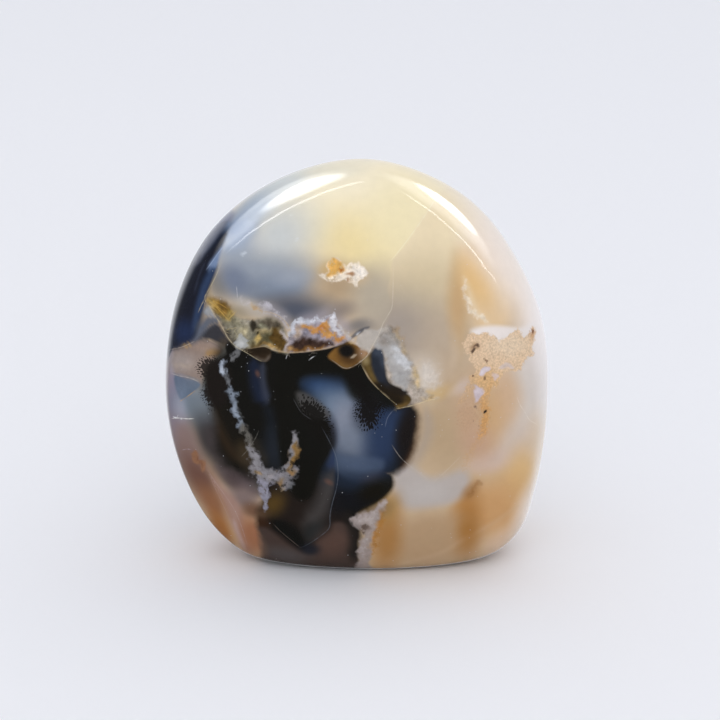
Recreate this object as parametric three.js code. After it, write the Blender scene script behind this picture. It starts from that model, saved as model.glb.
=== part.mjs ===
// A polished freeform of dendritic opal: one thick rounded stone with a ground face and a small flat foot.
// Millimetres, +Z up. The ground face looks along -Y, and the origin is on the table under the stone's middle.
import * as THREE from "three";
import { mergeVertices } from "three/addons/utils/BufferGeometryUtils.js";

// The pebble's outline as seen from the front, before the foot is ground off: [x, z] from the stone's heart
const outline = [
  [0.8, 31.7],
  [8.9, 29.4],
  [15.9, 24.4],
  [21.3, 16.4],
  [24.5, 8.3],
  [25.4, -2.0],
  [24.9, -10.0],
  [24.0, -14.8],
  [22.8, -18.9],
  [20.1, -22.1],
  [15.0, -24.4],
  [4.0, -26.0],
  [-7.4, -24.9],
  [-14.6, -22.6],
  [-18.7, -19.2],
  [-22.1, -13.8],
  [-24.8, -5.5],
  [-25.3, 2.2],
  [-23.5, 12.4],
  [-18.4, 22.1],
  [-9.5, 29.1],
];
const heartHeight = 23.3; // the stone's heart above the table
const girthDepth = 21.5; // half the depth that the pebble would have without its ground faces
const girthPower = 2.5; // above 2, the side walls stand steeper than an ellipse's

// The two faces are ground to shallow domes: how far each stands from the heart, and its radius
const frontFace = { depth: 15.4, radius: 50, middle: [4.0, 0.5] };
const backFace = { depth: 14.4, radius: 48, middle: [-0.5, -1.5] };

// How softly each surface runs into the next: the width of the blend
const frontEase = 2.2;
const backEase = 6.0;
const footEase = 1.6;

// Hand polishing leaves long shallow waves: [height, waves across the stone in x, y and z, start]
const polishWaves = [
  [0.16, 2.3, 1.1, -1.7, 0.4],
  [0.12, -1.4, 1.9, 2.9, 2.1],
  [0.08, 3.6, -2.2, 1.3, 4.0],
];

const cells = 26; // squares along each side of the starting cube
const rimSteps = 720; // points along the smoothed outline
const halfBox = new THREE.Vector3(25.5, 15, 26.5); // spreads the squares evenly over the stone
const halvings = 40; // steps that find the skin to far under a micron
const flatWithin = 1e-5; // a height under this is on the foot

const rim = new THREE.CatmullRomCurve3(
  outline.map(([x, z]) => new THREE.Vector3(x, 0, z)),
  true,
  "centripetal",
)
  .getPoints(rimSteps)
  .map((p) => ({ angle: Math.atan2(p.z, p.x), reach: Math.hypot(p.x, p.z) }))
  .sort((a, b) => a.angle - b.angle);

// The outline's distance from the heart at an angle
function rimReach(angle) {
  const found = rim.findIndex((p) => p.angle >= angle);
  const after = rim[found < 0 ? 0 : found];
  const before = rim[found > 0 ? found - 1 : rim.length - 1];
  const turn = 2 * Math.PI;
  const span = (after.angle - before.angle + turn) % turn || 1;
  const share = ((angle - before.angle + turn) % turn) / span;
  return before.reach + (after.reach - before.reach) * Math.min(share, 1);
}

// The way from the heart to the pebble's skin along a direction, found by halving
function pebbleReach(d) {
  const across = Math.hypot(d.x, d.z);
  const reach = rimReach(Math.atan2(d.z, d.x));
  let near = 0;
  let far = 2 * reach;
  for (let i = 0; i < halvings; i++) {
    const t = (near + far) / 2;
    const girth = ((t * across) / reach) ** girthPower;
    const depth = ((t * d.y) / girthDepth) ** 2;
    if (girth + depth < 1) near = t;
    else far = t;
  }
  const wave = polishWaves.reduce(
    (sum, [tall, x, y, z, start]) => sum + tall * Math.sin(x * d.x + y * d.y + z * d.z + start),
    0,
  );
  return near + wave;
}

// The way to a shallow dome: side is -1 for the front face and 1 for the back
function domeReach(d, face, side) {
  const middle = new THREE.Vector3(face.middle[0], side * (face.depth - face.radius), face.middle[1]);
  const along = d.dot(middle);
  return along + Math.sqrt(along ** 2 - middle.lengthSq() + face.radius ** 2);
}

function footReach(d) {
  return d.z < 0 ? -heartHeight / d.z : Infinity;
}

// The nearer of two distances, blended where they are closer than ease
function soften(a, b, ease) {
  const blend = Math.max(ease - Math.abs(a - b), 0) / ease;
  return Math.min(a, b) - (blend ** 2 * ease) / 4;
}

function skin(d) {
  let t = pebbleReach(d);
  t = soften(t, domeReach(d, frontFace, -1), frontEase);
  t = soften(t, domeReach(d, backFace, 1), backEase);
  t = soften(t, footReach(d), footEase);
  const p = d.clone().multiplyScalar(t);
  p.z += heartHeight;
  if (Math.abs(p.z) < flatWithin) p.z = 0;
  return p;
}

// A cube of squares, swelled to the stone's skin
function stoneGeometry() {
  const cube = new THREE.BoxGeometry(2, 2, 2, cells, cells, cells);
  cube.deleteAttribute("normal");
  cube.deleteAttribute("uv");
  const geometry = mergeVertices(cube);
  const place = geometry.getAttribute("position");
  for (let i = 0; i < place.count; i++) {
    const way = new THREE.Vector3().fromBufferAttribute(place, i).multiply(halfBox).normalize();
    place.setXYZ(i, ...skin(way).toArray());
  }
  geometry.computeBoundingBox();
  const middle = geometry.boundingBox.getCenter(new THREE.Vector3());
  geometry.translate(-middle.x, -middle.y, 0);
  geometry.computeVertexNormals();
  return geometry;
}

const opal = new THREE.MeshStandardMaterial({ color: "#b5a78f", roughness: 0.08, metalness: 0 });

const stone = new THREE.Mesh(stoneGeometry(), opal);
stone.name = "opal_freeform";

const freeform = new THREE.Group();
freeform.add(stone);
export default freeform;
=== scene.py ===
import math

import bpy
import numpy as np
from mathutils import Matrix, Vector


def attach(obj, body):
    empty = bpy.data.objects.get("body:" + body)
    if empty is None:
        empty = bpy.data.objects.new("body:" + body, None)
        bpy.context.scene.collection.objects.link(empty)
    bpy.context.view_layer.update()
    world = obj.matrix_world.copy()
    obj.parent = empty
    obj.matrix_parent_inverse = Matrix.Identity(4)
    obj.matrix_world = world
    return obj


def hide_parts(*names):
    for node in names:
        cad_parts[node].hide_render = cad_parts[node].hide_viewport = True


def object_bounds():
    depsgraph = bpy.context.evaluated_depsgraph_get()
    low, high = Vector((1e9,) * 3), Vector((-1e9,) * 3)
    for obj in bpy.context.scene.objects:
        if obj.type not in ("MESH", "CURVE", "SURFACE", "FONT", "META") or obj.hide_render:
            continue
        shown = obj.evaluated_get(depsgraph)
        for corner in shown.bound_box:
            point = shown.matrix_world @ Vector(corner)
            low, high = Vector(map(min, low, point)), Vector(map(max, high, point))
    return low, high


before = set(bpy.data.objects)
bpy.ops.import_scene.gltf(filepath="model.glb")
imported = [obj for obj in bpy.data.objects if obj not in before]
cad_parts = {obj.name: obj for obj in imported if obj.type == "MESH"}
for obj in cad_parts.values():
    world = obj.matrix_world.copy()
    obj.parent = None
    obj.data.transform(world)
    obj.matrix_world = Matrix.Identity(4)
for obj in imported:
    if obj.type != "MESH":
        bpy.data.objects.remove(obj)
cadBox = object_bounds()
stoneMiddle = 500 * (Vector(cadBox[0]) + Vector(cadBox[1]))  # mm
print("frame loaded, stone", [round(1000 * (high - low), 1) for low, high in zip(*cadBox)], "mm")

# The camera stands where the picture was taken from. The picture is 720 pixels wide and high.
view = {
    "azimuth": -3.0,  # degrees round from straight in front
    "elevation": 16.0,  # degrees above the table
    "distance": 350.0,  # mm from the stone's middle
    "pixelsPerMm": 7.55,  # at the stone's middle
    "stonePixel": (357.0, 357.0),  # where the stone's middle shows
    "picture": 720,
    "sensor": 36.0,  # mm
}

# Markings
# Every marking is placed in pixels of the picture, as it is seen from the front. Lengths are in pixels, and
# edges are in widths of the marking's own soft edge: less than 0 inside it, and more than 0 outside.
drawing = {
    "far": 24.0,  # past this a marking's distance no longer matters
    "tiny": 1e-9,  # stands in for a length of zero
    "taper": 8,  # a streak narrows over one part in this many of its length, at each end
    "tip": 0.1,  # and its tips are the root of this as wide as the rest
    "outlineSoft": 1.5,  # soft edge of an outline that a marking stays within
    "noEdge": 50.0,  # edge of a layer that has no shape yet
    "edgeLimit": 8.0,  # the mesh holds edges up to this
    "fanLimit": 4.0,  # and this for the fans
    "fanApart": 100,  # keeps the cells of the fans apart
    "crackFade": 0.18,  # share of a fracture's length over which each end fades
    "bend": (0, 10),  # mm behind the middle: the pattern bends from here, and most from there
    "backSoft": 3,  # softness that the dark mass's edge gains there, as a share of its own
    "fade": (-3, 1),  # mm behind the middle: the crisp markings thin out between these
    "fadeRipple": 0.8,  # mm of unevenness in that for each pixel of the rim's ripple
}
# The ripples that keep markings from looking drawn: reach, length and start
ripples = {
    "back": (26, 62, 0.7),
    "cloud": (2.2, 46, 1.9),
    "rim": (2.6, 70, 0.9),
    "edge": (1.1, 8.0, 0.4),
    "fineEdge": (0.7, 3.2, 2.6),
}
# The waves of every ripple: height, how fast they run across and down, and their share of the start
rippleWaves = {
    "across": [(1.0, 1.3, 2.1, 1.0), (0.6, -2.2, 3.7, 2.2)],
    "down": [(1.0, 2.4, -1.1, 1.7), (0.6, 3.3, 2.6, 1.0)],
}


def cameraAxes():
    turn = math.radians(view["azimuth"])
    rise = math.radians(view["elevation"])
    back = np.array([math.sin(turn) * math.cos(rise), -math.cos(turn) * math.cos(rise), math.sin(rise)])
    right = np.array([math.cos(turn), math.sin(turn), 0])
    return right, np.cross(back, right), back


# Where points of the stone, in mm, show in the picture
def pictureSpots(points, middle):
    right, up, back = cameraAxes()
    reach = points - middle
    scale = view["pixelsPerMm"] * view["distance"] / (view["distance"] - reach @ back)
    across, down = view["stonePixel"]
    return np.stack([across + scale * (reach @ right), down - scale * (reach @ up)], axis=1)


# An sRGB hex colour, or sRGB values from 0 to 1, as the linear values that shaders use
def toLinear(tone):
    tone = screenTone(tone) if isinstance(tone, str) else tone
    return np.where(tone <= 0.04045, tone / 12.92, ((tone + 0.055) / 1.055) ** 2.4)


def screenTone(hexCode):
    return np.array([int(hexCode[i:i + 2], 16) / 255 for i in (1, 3, 5)])


def smoothStep(low, high, value):
    share = np.clip((value - low) / (high - low), 0, 1)
    return share * share * (3 - 2 * share)


# The three kinds of marking: an oval, a closed shape and a line. A blot's softness is a share of its size.
# within names the outline that a marking stays inside.
def blot(tone, middle, size, turn=0, strength=1.0, soft=0.8, within=None):
    return {"kind": "blot", "tone": tone, "middle": middle, "size": size, "turn": turn,
            "strength": strength, "soft": soft, "within": within}


def patch(tone, points, soft=2.0, strength=1.0, within=None):
    return {"kind": "patch", "tone": tone, "points": points, "soft": soft,
            "strength": strength, "within": within}


def streak(tone, points, wide=4.0, soft=2.0, strength=1.0, within=None):
    return {"kind": "streak", "tone": tone, "points": points, "wide": wide, "soft": soft,
            "strength": strength, "within": within}


# Rounds a run of given points with a Catmull-Rom curve
def roundedLine(points, closed, steps=4):
    points = np.array(points, dtype=float)
    if closed:
        runs = [np.roll(points, shift, axis=0) for shift in (1, 0, -1, -2)]
    else:
        padded = np.vstack([2 * points[0] - points[1], points, 2 * points[-1] - points[-2]])
        runs = [padded[i:len(padded) - 3 + i] for i in range(4)]
    line = []
    for before, start, end, after in zip(*runs):
        rise = end - before
        bend = 2 * before - 5 * start + 4 * end - after
        twist = 3 * start - before - 3 * end + after
        for t in np.arange(steps) / steps:
            line.append(0.5 * (2 * start + rise * t + bend * t ** 2 + twist * t ** 3))
    line.append(line[0] if closed else points[-1])
    return np.array(line)


# How far spots are from a line, on which side of it, and how far along it as a share of its length
def measureLine(spots, line):
    near = np.full(len(spots), np.inf)
    side = np.zeros(len(spots))
    along = np.zeros(len(spots))
    lengths = np.hypot(*(line[1:] - line[:-1]).T)
    starts = np.concatenate([[0], np.cumsum(lengths)])
    for i, (a, b) in enumerate(zip(line[:-1], line[1:])):
        way = b - a
        gap = spots - a
        share = np.clip(gap @ way / max(way @ way, drawing["tiny"]), 0, 1)
        far = np.hypot(gap[:, 0] - share * way[0], gap[:, 1] - share * way[1])
        nearer = far < near
        near[nearer] = far[nearer]
        cross = (way[0] * gap[:, 1] - way[1] * gap[:, 0]) / max(lengths[i], drawing["tiny"])
        side[nearer] = cross[nearer]
        along[nearer] = (starts[i] + share * lengths[i])[nearer] / starts[-1]
    return near, side, along


# Whether a closed line runs round each spot
def ringedBy(spots, line):
    ringed = np.zeros(len(spots), dtype=bool)
    for a, b in zip(line[:-1], line[1:]):
        slant = (b[0] - a[0]) * (spots[:, 1] - a[1]) / (b[1] - a[1] or drawing["tiny"])
        spans = (a[1] > spots[:, 1]) != (b[1] > spots[:, 1])
        ringed ^= spans & (spots[:, 0] < a[0] + slant)
    return ringed


# Which spots lie in the box around a line, grown by a reach
def closeTo(spots, line, reach):
    return np.all((spots > line.min(axis=0) - reach) & (spots < line.max(axis=0) + reach), axis=1)


# How far each spot is outside a marking's edge, in widths of its soft edge, and less than 0 inside
def edgeOf(spots, mark):
    if mark["kind"] == "blot":
        turn = math.radians(mark["turn"])
        gap = spots - np.array(mark["middle"])
        across = (gap[:, 0] * math.cos(turn) + gap[:, 1] * math.sin(turn)) / mark["size"][0]
        down = (gap[:, 1] * math.cos(turn) - gap[:, 0] * math.sin(turn)) / mark["size"][1]
        return (np.hypot(across, down) - 1) / mark["soft"]
    closed = mark["kind"] == "patch"
    line = roundedLine(mark["points"], closed)
    reach = drawing["far"] + 2 * mark["soft"]
    close = closeTo(spots, line, reach)
    edge = np.full(len(spots), reach)
    near, _, along = measureLine(spots[close], line)
    if closed:
        edge[close] = np.where(ringedBy(spots[close], line), -near, near)
    else:
        taper = np.sqrt(np.clip(np.minimum(along, 1 - along) * drawing["taper"], drawing["tip"], 1))
        edge[close] = near - taper * mark["wide"] / 2
    return edge / mark["soft"]


# How well a marking covers each spot, from 0 to 1
def coverOf(spots, mark):
    cover = smoothStep(1, -1, edgeOf(spots, mark)) * mark["strength"]
    if mark["within"]:
        outline = patch("", outlines[mark["within"]], drawing["outlineSoft"])
        cover = cover * smoothStep(1, -1, edgeOf(spots, outline))
    return cover


# Lays tints over a tone, each over those before it
def tinted(spots, tone, tints):
    for mark in tints.values():
        tone = tone + (screenTone(mark["tone"]) - tone) * coverOf(spots, mark)[:, None]
    return tone


# Joins shapes, each over those before it, into one layer: its edge, its tone and how well it covers.
# The tints are laid at spots of their own, which may be rippled otherwise than those of the shapes.
def layered(spots, shapes, tintSpots, tints):
    edge = np.full(len(spots), drawing["noEdge"])
    tone = np.zeros((len(spots), 3))
    strength = np.zeros(len(spots))
    for mark in shapes.values():
        side = edgeOf(spots, mark)
        wins = smoothStep(-1, 1, np.maximum(edge, 0) - side)
        tone = tone + (screenTone(mark["tone"]) - tone) * wins[:, None]
        strength = strength + (mark["strength"] - strength) * wins
        edge = np.minimum(edge, side)
    limit = drawing["edgeLimit"]
    return np.clip(edge, -limit, limit), tinted(tintSpots, tone, tints), strength


# The spots, shifted by smooth ripples
def rippled(spots, reach, length, start):
    x, y = spots.T / length
    shifts = [sum(tall * np.sin(xRun * x + yRun * y + share * start) for tall, xRun, yRun, share in waves)
              for waves in rippleWaves.values()]
    return spots + np.stack(shifts, axis=1) * np.asarray(reach).reshape(-1, 1)


# The healed fracture that frames the upper part, and the one that cuts through the dark mass
outlines = {
    "window": [
        (204, 299), (206, 290), (216, 268), (228, 246), (245, 228), (270, 200), (330, 170), (400, 160),
        (442, 180), (437, 196), (426, 214), (416, 229), (404, 244), (392, 259), (393, 276), (390, 290),
        (392, 305), (389, 316), (383, 327), (379, 335), (372, 346), (362, 359), (345, 366), (320, 356),
        (280, 356), (245, 352), (222, 328)],
    "cutPiece": [
        (293, 398), (301, 412), (321, 426), (330, 441), (336, 456), (338.5, 475), (336, 492), (330, 507),
        (330, 524), (322, 535), (301, 548), (283, 533), (273, 524), (265, 480), (275, 420)],
}

# The pale stone: soft clouds, each laid over those before it; a few near the rims and the left highlight are
# painted light
bodyBase = "#c9b091"
bodyTints = {
    # the shade around the left flank of the dark mass
    "flank shade": patch("#46443f", [
        (204, 352), (201, 370), (201, 390), (205, 410), (207, 430), (214, 452), (232, 472), (266, 482),
        (266, 350), (232, 342)], 7),
    # from cream at the crown to amber at the lower right
    "crown": blot("#efe3c8", (395, 185), (190, 75), 0, 1, 0.7),
    "right cream": blot("#ead8b4", (432, 240), (60, 50), 0, 1, 0.8),
    "right sand": blot("#cdbb99", (425, 292), (48, 34), 0, 0.9, 0.8),
    "right grey": blot("#9f948a", (402, 330), (34, 36), 0, 0.95, 0.8),
    "right low": blot("#b7a590", (440, 348), (30, 40), 0, 0.8, 0.8),
    "tan band": blot("#c3a074", (458, 303), (9, 40), 2, 0.9, 0.9),
    "honey": patch("#e0c197", [
        (463, 270), (466, 292), (468, 306), (472, 320), (478, 330), (490, 332), (505, 326), (510, 292),
        (500, 256), (484, 240), (466, 246)], 9, 0.85),
    "honey heart": blot("#e2ba80", (476, 280), (15, 24), -10, 0.85, 0.8),
    "right shoulder": blot("#efe0d2", (510, 262), (26, 78), -28, 0.95, 0.8),
    # pale stone at the right rim, made lighter still as painted light where the rim catches the room
    "right rim": blot("#f4ece9", (546, 370), (22, 120), 0, 1, 0.8),
    "honey lumps": streak("#eddfc6", [
        (464, 280), (466, 290), (469, 301), (473, 311), (480, 318), (487, 323)], 4, 4, 0.4),
    "white halo": patch("#ece4e0", [
        (470, 333), (478, 328), (492, 326), (508, 327), (520, 328), (534, 322), (536, 334), (528, 342),
        (505, 346), (484, 342)], 3.5, 0.9),
    "right veil": blot("#d0c6bd", (524, 395), (26, 52), 6, 0.9, 0.8),
    "right tan": blot("#cba885", (503, 403), (15, 34), 8, 0.85, 0.7),
    "under sand": blot("#c9a274", (487, 415), (13, 24), 0, 0.8, 0.8),
    "middle fawn": blot("#bca386", (450, 395), (30, 34), 0, 0.9, 0.8),
    "middle low": blot("#b49b7b", (444, 435), (30, 36), 0, 0.9, 0.8),
    "middle streak": blot("#c8b49d", (452, 352), (4, 17), 0, 0.35, 1.0),
    "pearl spot": blot("#cfbeae", (464, 386), (11, 5), -25, 0.6, 0.9),
    "ochre cloud": blot("#c9a670", (438, 391), (14, 7), -25, 0.7, 0.9),
    "ring light": streak("#a3978c", [
        (427, 408), (429, 430), (425, 448), (416, 463), (404, 478)], 9, 7, 0.6),
    "pink cloud": blot("#cbb2a2", (490, 460), (26, 11), -8, 0.85, 0.7),
    "pink tail": blot("#cbb9ab", (520, 444), (26, 16), -28, 0.75, 0.8),
    "gold": blot("#d6b07b", (520, 476), (17, 25), 18, 0.9, 0.8),
    "amber": blot("#c89a68", (496, 510), (34, 30), 0, 0.95, 0.7),
    "deep amber": blot("#aa7740", (467, 522), (15, 32), 4, 0.9, 0.8),
    "grey cloud": patch("#b5aca6", [
        (391, 470), (400, 466), (412, 470), (428, 480), (446, 474), (462, 468), (470, 478), (466, 492),
        (452, 504), (430, 508), (408, 508), (396, 502), (390, 490)], 7, 0.95),
    "grey heart": blot("#bcb5af", (424, 494), (24, 11), 0, 0.7, 0.8),
    "low tan": blot("#b39573", (430, 540), (46, 26), 0, 0.9, 0.5),
    "low gold": blot("#a87a47", (386, 534), (15, 32), 4, 0.95, 0.8),
    "foot ochre": blot("#a5814d", (386, 508), (9, 12), 15, 0.9, 0.9),
    "foot dun": blot("#7d6a52", (366, 512), (20, 8), -18, 0.9, 0.8),
    "low rust": blot("#a1713d", (468, 549), (9, 6), -20, 0.4, 1.0),
    "rust veil": blot("#94683f", (471, 491), (10, 6), -45, 0.55, 0.9),
    "low right": blot("#dcc3ac", (512, 540), (28, 16), -30, 0.9, 0.8),
    # pale stone at the lower right rim, lightened as painted light against the shade near the table
    "low right rim": blot("#eadccf", (534, 508), (13, 44), 22, 0.95, 0.8),
    "low crease": streak("#c9ac8e", [
        (404, 561), (444, 555), (464, 543), (491, 523), (521, 503)], 3, 3, 0.4),
    # the upper part inside the window
    "window cream": blot("#f5e9cb", (352, 205), (80, 44), 0, 1, 0.7, "window"),
    "window gold": blot("#ecd79f", (356, 244), (40, 32), 0, 0.95, 1.0, "window"),
    "window edge": blot("#efe1b6", (400, 215), (30, 40), 30, 0.8, 0.8, "window"),
    "window mist": blot("#c8cbc9", (280, 236), (36, 28), -25, 0.95, 0.9, "window"),
    # blue grey mist in the stone, lightened with painted reflection from the left highlight's edge
    "window blue mist and reflection": blot("#a6b0be", (238, 250), (20, 15), -40, 0.9, 0.8, "window"),
    "window grey": blot("#929aa5", (262, 272), (44, 20), 0, 0.95, 0.7, "window"),
    "window blue": blot("#78818f", (256, 290), (30, 13), -8, 0.85, 0.8, "window"),
    "window steel": blot("#7f8a9a", (288, 286), (22, 12), 0, 0.8, 0.8, "window"),
    "window dun": blot("#ad9577", (340, 284), (26, 18), 0, 0.9, 0.8, "window"),
    "window amber": blot("#cfa868", (331, 271), (12, 6), -12, 0.7, 0.9, "window"),
    "window ash": blot("#b3a794", (374, 296), (22, 30), 0, 0.9, 0.8, "window"),
    "window slate": blot("#4d525f", (296, 308), (33, 13), 5, 0.95, 0.9, "window"),
    "window smoke": blot("#75716f", (361, 329), (12, 6), -10, 0.8, 0.9, "window"),
    "window haze": streak("#b8afa3", [
        (234, 300), (243, 304), (254, 310), (264, 312)], 13, 7, 0.85, "window"),
    "window lilac": streak("#9f98a0", [
        (296, 324), (306, 317), (318, 315), (330, 313), (342, 323), (352, 333)], 10, 7, 0.7, "window"),
    "arch glow": streak("#8f8b90", [
        (258, 304), (270, 309), (281, 315), (288, 322)], 10, 6, 0.75, "window"),
    "left corner": blot("#807c76", (219, 287), (10, 12), 0, 0.9, 0.8, "window"),
    "left corner gold": streak("#ab9776", [(209, 284), (208, 296), (213, 306)], 6, 3, 0.75, "window"),
    # the upper left shoulder, from blue grey to cream
    "shoulder blue": blot("#8495b0", (237, 226), (24, 14), -48, 1, 0.8),
    "shoulder mist": blot("#a3b0c0", (258, 203), (24, 14), -38, 0.95, 0.8),
    "shoulder pearl": blot("#cdd2d2", (288, 183), (30, 12), -26, 0.9, 0.8),
    "shoulder cream": blot("#e6e0cc", (330, 169), (34, 9), -8, 0.8, 0.8),
    # the lower left, where the stone is mauve and rusty
    "left shoulder": blot("#8b8393", (176, 400), (13, 60), -4, 1, 0.7),
    "left mist": blot("#74808c", (194, 403), (20, 20), -35, 0.95, 0.8),
    "left slate": blot("#6b7278", (203, 417), (10, 20), -20, 0.9, 0.8),
    "left dusk": blot("#363334", (212, 438), (18, 20), -20, 0.95, 0.8),
    "left shade": patch("#433c3b", [
        (204, 434), (216, 424), (236, 436), (250, 462), (254, 478), (236, 484), (214, 470)], 8, 0.9),
    "left smoke": patch("#5b4f50", [
        (214, 466), (232, 470), (250, 478), (262, 490), (250, 494), (228, 484)], 7, 0.85),
    "left mauve": blot("#86706a", (188, 448), (11, 28), -18, 0.95, 0.7),
    "left rose": blot("#6a4b40", (200, 480), (13, 26), -30, 0.95, 0.8),
    "left ash": blot("#7d6c68", (245, 497), (18, 10), 20, 0.95, 0.8),
    "left wedge": patch("#9f7e72", [
        (212, 478), (222, 488), (236, 498), (246, 510), (248, 524), (253, 548), (245, 553), (236, 532),
        (225, 510), (215, 490)], 5.0, 0.85),
    "left rust": blot("#8c5f42", (212, 506), (10, 22), -36, 0.9, 0.8),
    "left amber": blot("#9c6536", (222, 530), (8, 18), -38, 0.9, 0.8),
    "left copper": blot("#9a684b", (254, 534), (11, 22), -8, 0.95, 0.7),
    "left umber": blot("#6f513e", (257, 507), (11, 7), 10, 0.9, 0.8),
    "left crease": streak("#b59c97", [(235, 519), (239, 532), (245, 549)], 3, 2, 0.7),
    # where the slab melts into the body
    "slab mist": blot("#cec3b6", (424, 374), (15, 17), -20, 0.9, 0.9),
    "slab edge": blot("#bfab90", (426, 397), (12, 8), 10, 0.8, 0.8),
    "slab glow": blot("#c8ab7c", (434, 392), (10, 5), -14, 0.7, 0.8),
    # around the lower sand
    "sand skirt": blot("#c2a083", (470, 408), (13, 30), 8, 0.7, 0.9),
    "sand blush": blot("#c09a80", (476, 440), (16, 16), -20, 0.7, 0.9),
    "sand lilac": blot("#c9bab4", (466, 386), (6, 8), 0, 0.4, 0.9),
    # under the upper left rim the stone is nearly black
    "rim night": patch("#2b3140", [
        (150, 352), (150, 250), (196, 222), (216, 214), (226, 222), (216, 250), (206, 284), (204, 318),
        (195, 345)], 8, 0.95),
    "rim smoke": patch("#84889a", [
        (190, 240), (205, 220), (222, 204), (232, 212), (222, 228), (210, 244), (200, 258)], 4, 0.9),
    # small clouds that lie over several of those above
    # painted reflection: the pale blue light beside the left highlight on the shoulder
    "shoulder reflection": streak("#c3cddb", [(228, 247), (240, 235), (254, 221)], 11, 8, 0.8),
    "window dusk": blot("#737c8e", (236, 281), (13, 13), -30, 0.9, 0.8, "window"),
    "window ash two": blot("#a2a7b0", (291, 277), (15, 7), 0, 0.6, 0.9, "window"),
    "window rose": blot("#cbb08c", (356, 277), (11, 8), 0, 0.6, 0.9, "window"),
    "window brown": blot("#847971", (343, 312), (12, 8), 0, 0.7, 0.9, "window"),
    "left pearl": blot("#a4a3ae", (181, 409), (6, 12), -6, 0.6, 0.9),
    "lens shoulder": blot("#8f8672", (236, 313), (12, 5), 22, 0.75, 0.9),
    "lens cloud": blot("#b0a598", (255, 315), (12, 4), 8, 0.7, 0.9),
    "left gloom": blot("#4f4241", (230, 480), (10, 7), 35, 0.7, 0.9),
    "amber foot": blot("#a06c33", (469, 533), (9, 12), 0, 0.7, 0.9),
    "right honey": blot("#d6bd9c", (541, 440), (12, 24), -10, 0.6, 0.9),
}

# The dark mass: dense black growth that parts to show the blue stone behind it
darkShapes = {
    "flank": patch("#141310", [
        (232, 350), (222, 356), (214, 361), (208, 365), (205, 372), (204.5, 382), (207, 394), (211, 402),
        (214, 410), (217, 420), (219, 434), (221, 448), (228, 460), (240, 467), (252, 468), (280, 470),
        (280, 380), (252, 356), (240, 348)], 4),
    "flank low": patch("#191611", [
        (214, 404), (215, 422), (215, 440), (219, 456), (230, 470), (250, 478), (268, 474), (262, 440),
        (240, 410)], 8),
    "ring": patch("#141310", [
        (385, 396), (398, 400), (411, 401), (419, 415), (418, 432), (415, 448), (410, 461), (402, 470),
        (388, 476), (350, 470), (330, 420), (355, 380)], 5),
    "foot": patch("#241d19", [
        (266, 482), (300, 450), (350, 480), (356, 505), (360, 518), (362, 530), (361, 542), (360, 556),
        (356, 585), (262, 585), (261, 556), (259, 538), (256, 524), (256, 512), (262, 500)], 4.5),
    "toe": patch("#17140e", [
        (350, 460), (386, 471), (394, 479), (393, 488), (386, 497), (374, 506), (362, 512), (353, 516),
        (342, 506), (338, 480)], 3),
    "core": patch("#141310", [
        (224, 340), (232, 343.5), (238, 348), (246, 350), (257, 347.8), (266, 346.8), (274, 350.5),
        (287, 352.5), (300, 352), (314, 350.5), (331, 347.5), (345, 341), (358, 350), (365, 371),
        (371, 381), (380, 390), (390, 398), (403, 407), (398, 440), (370, 470), (334, 480), (280, 472),
        (255, 450), (240, 410), (232, 375)], 1.2),
}
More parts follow.
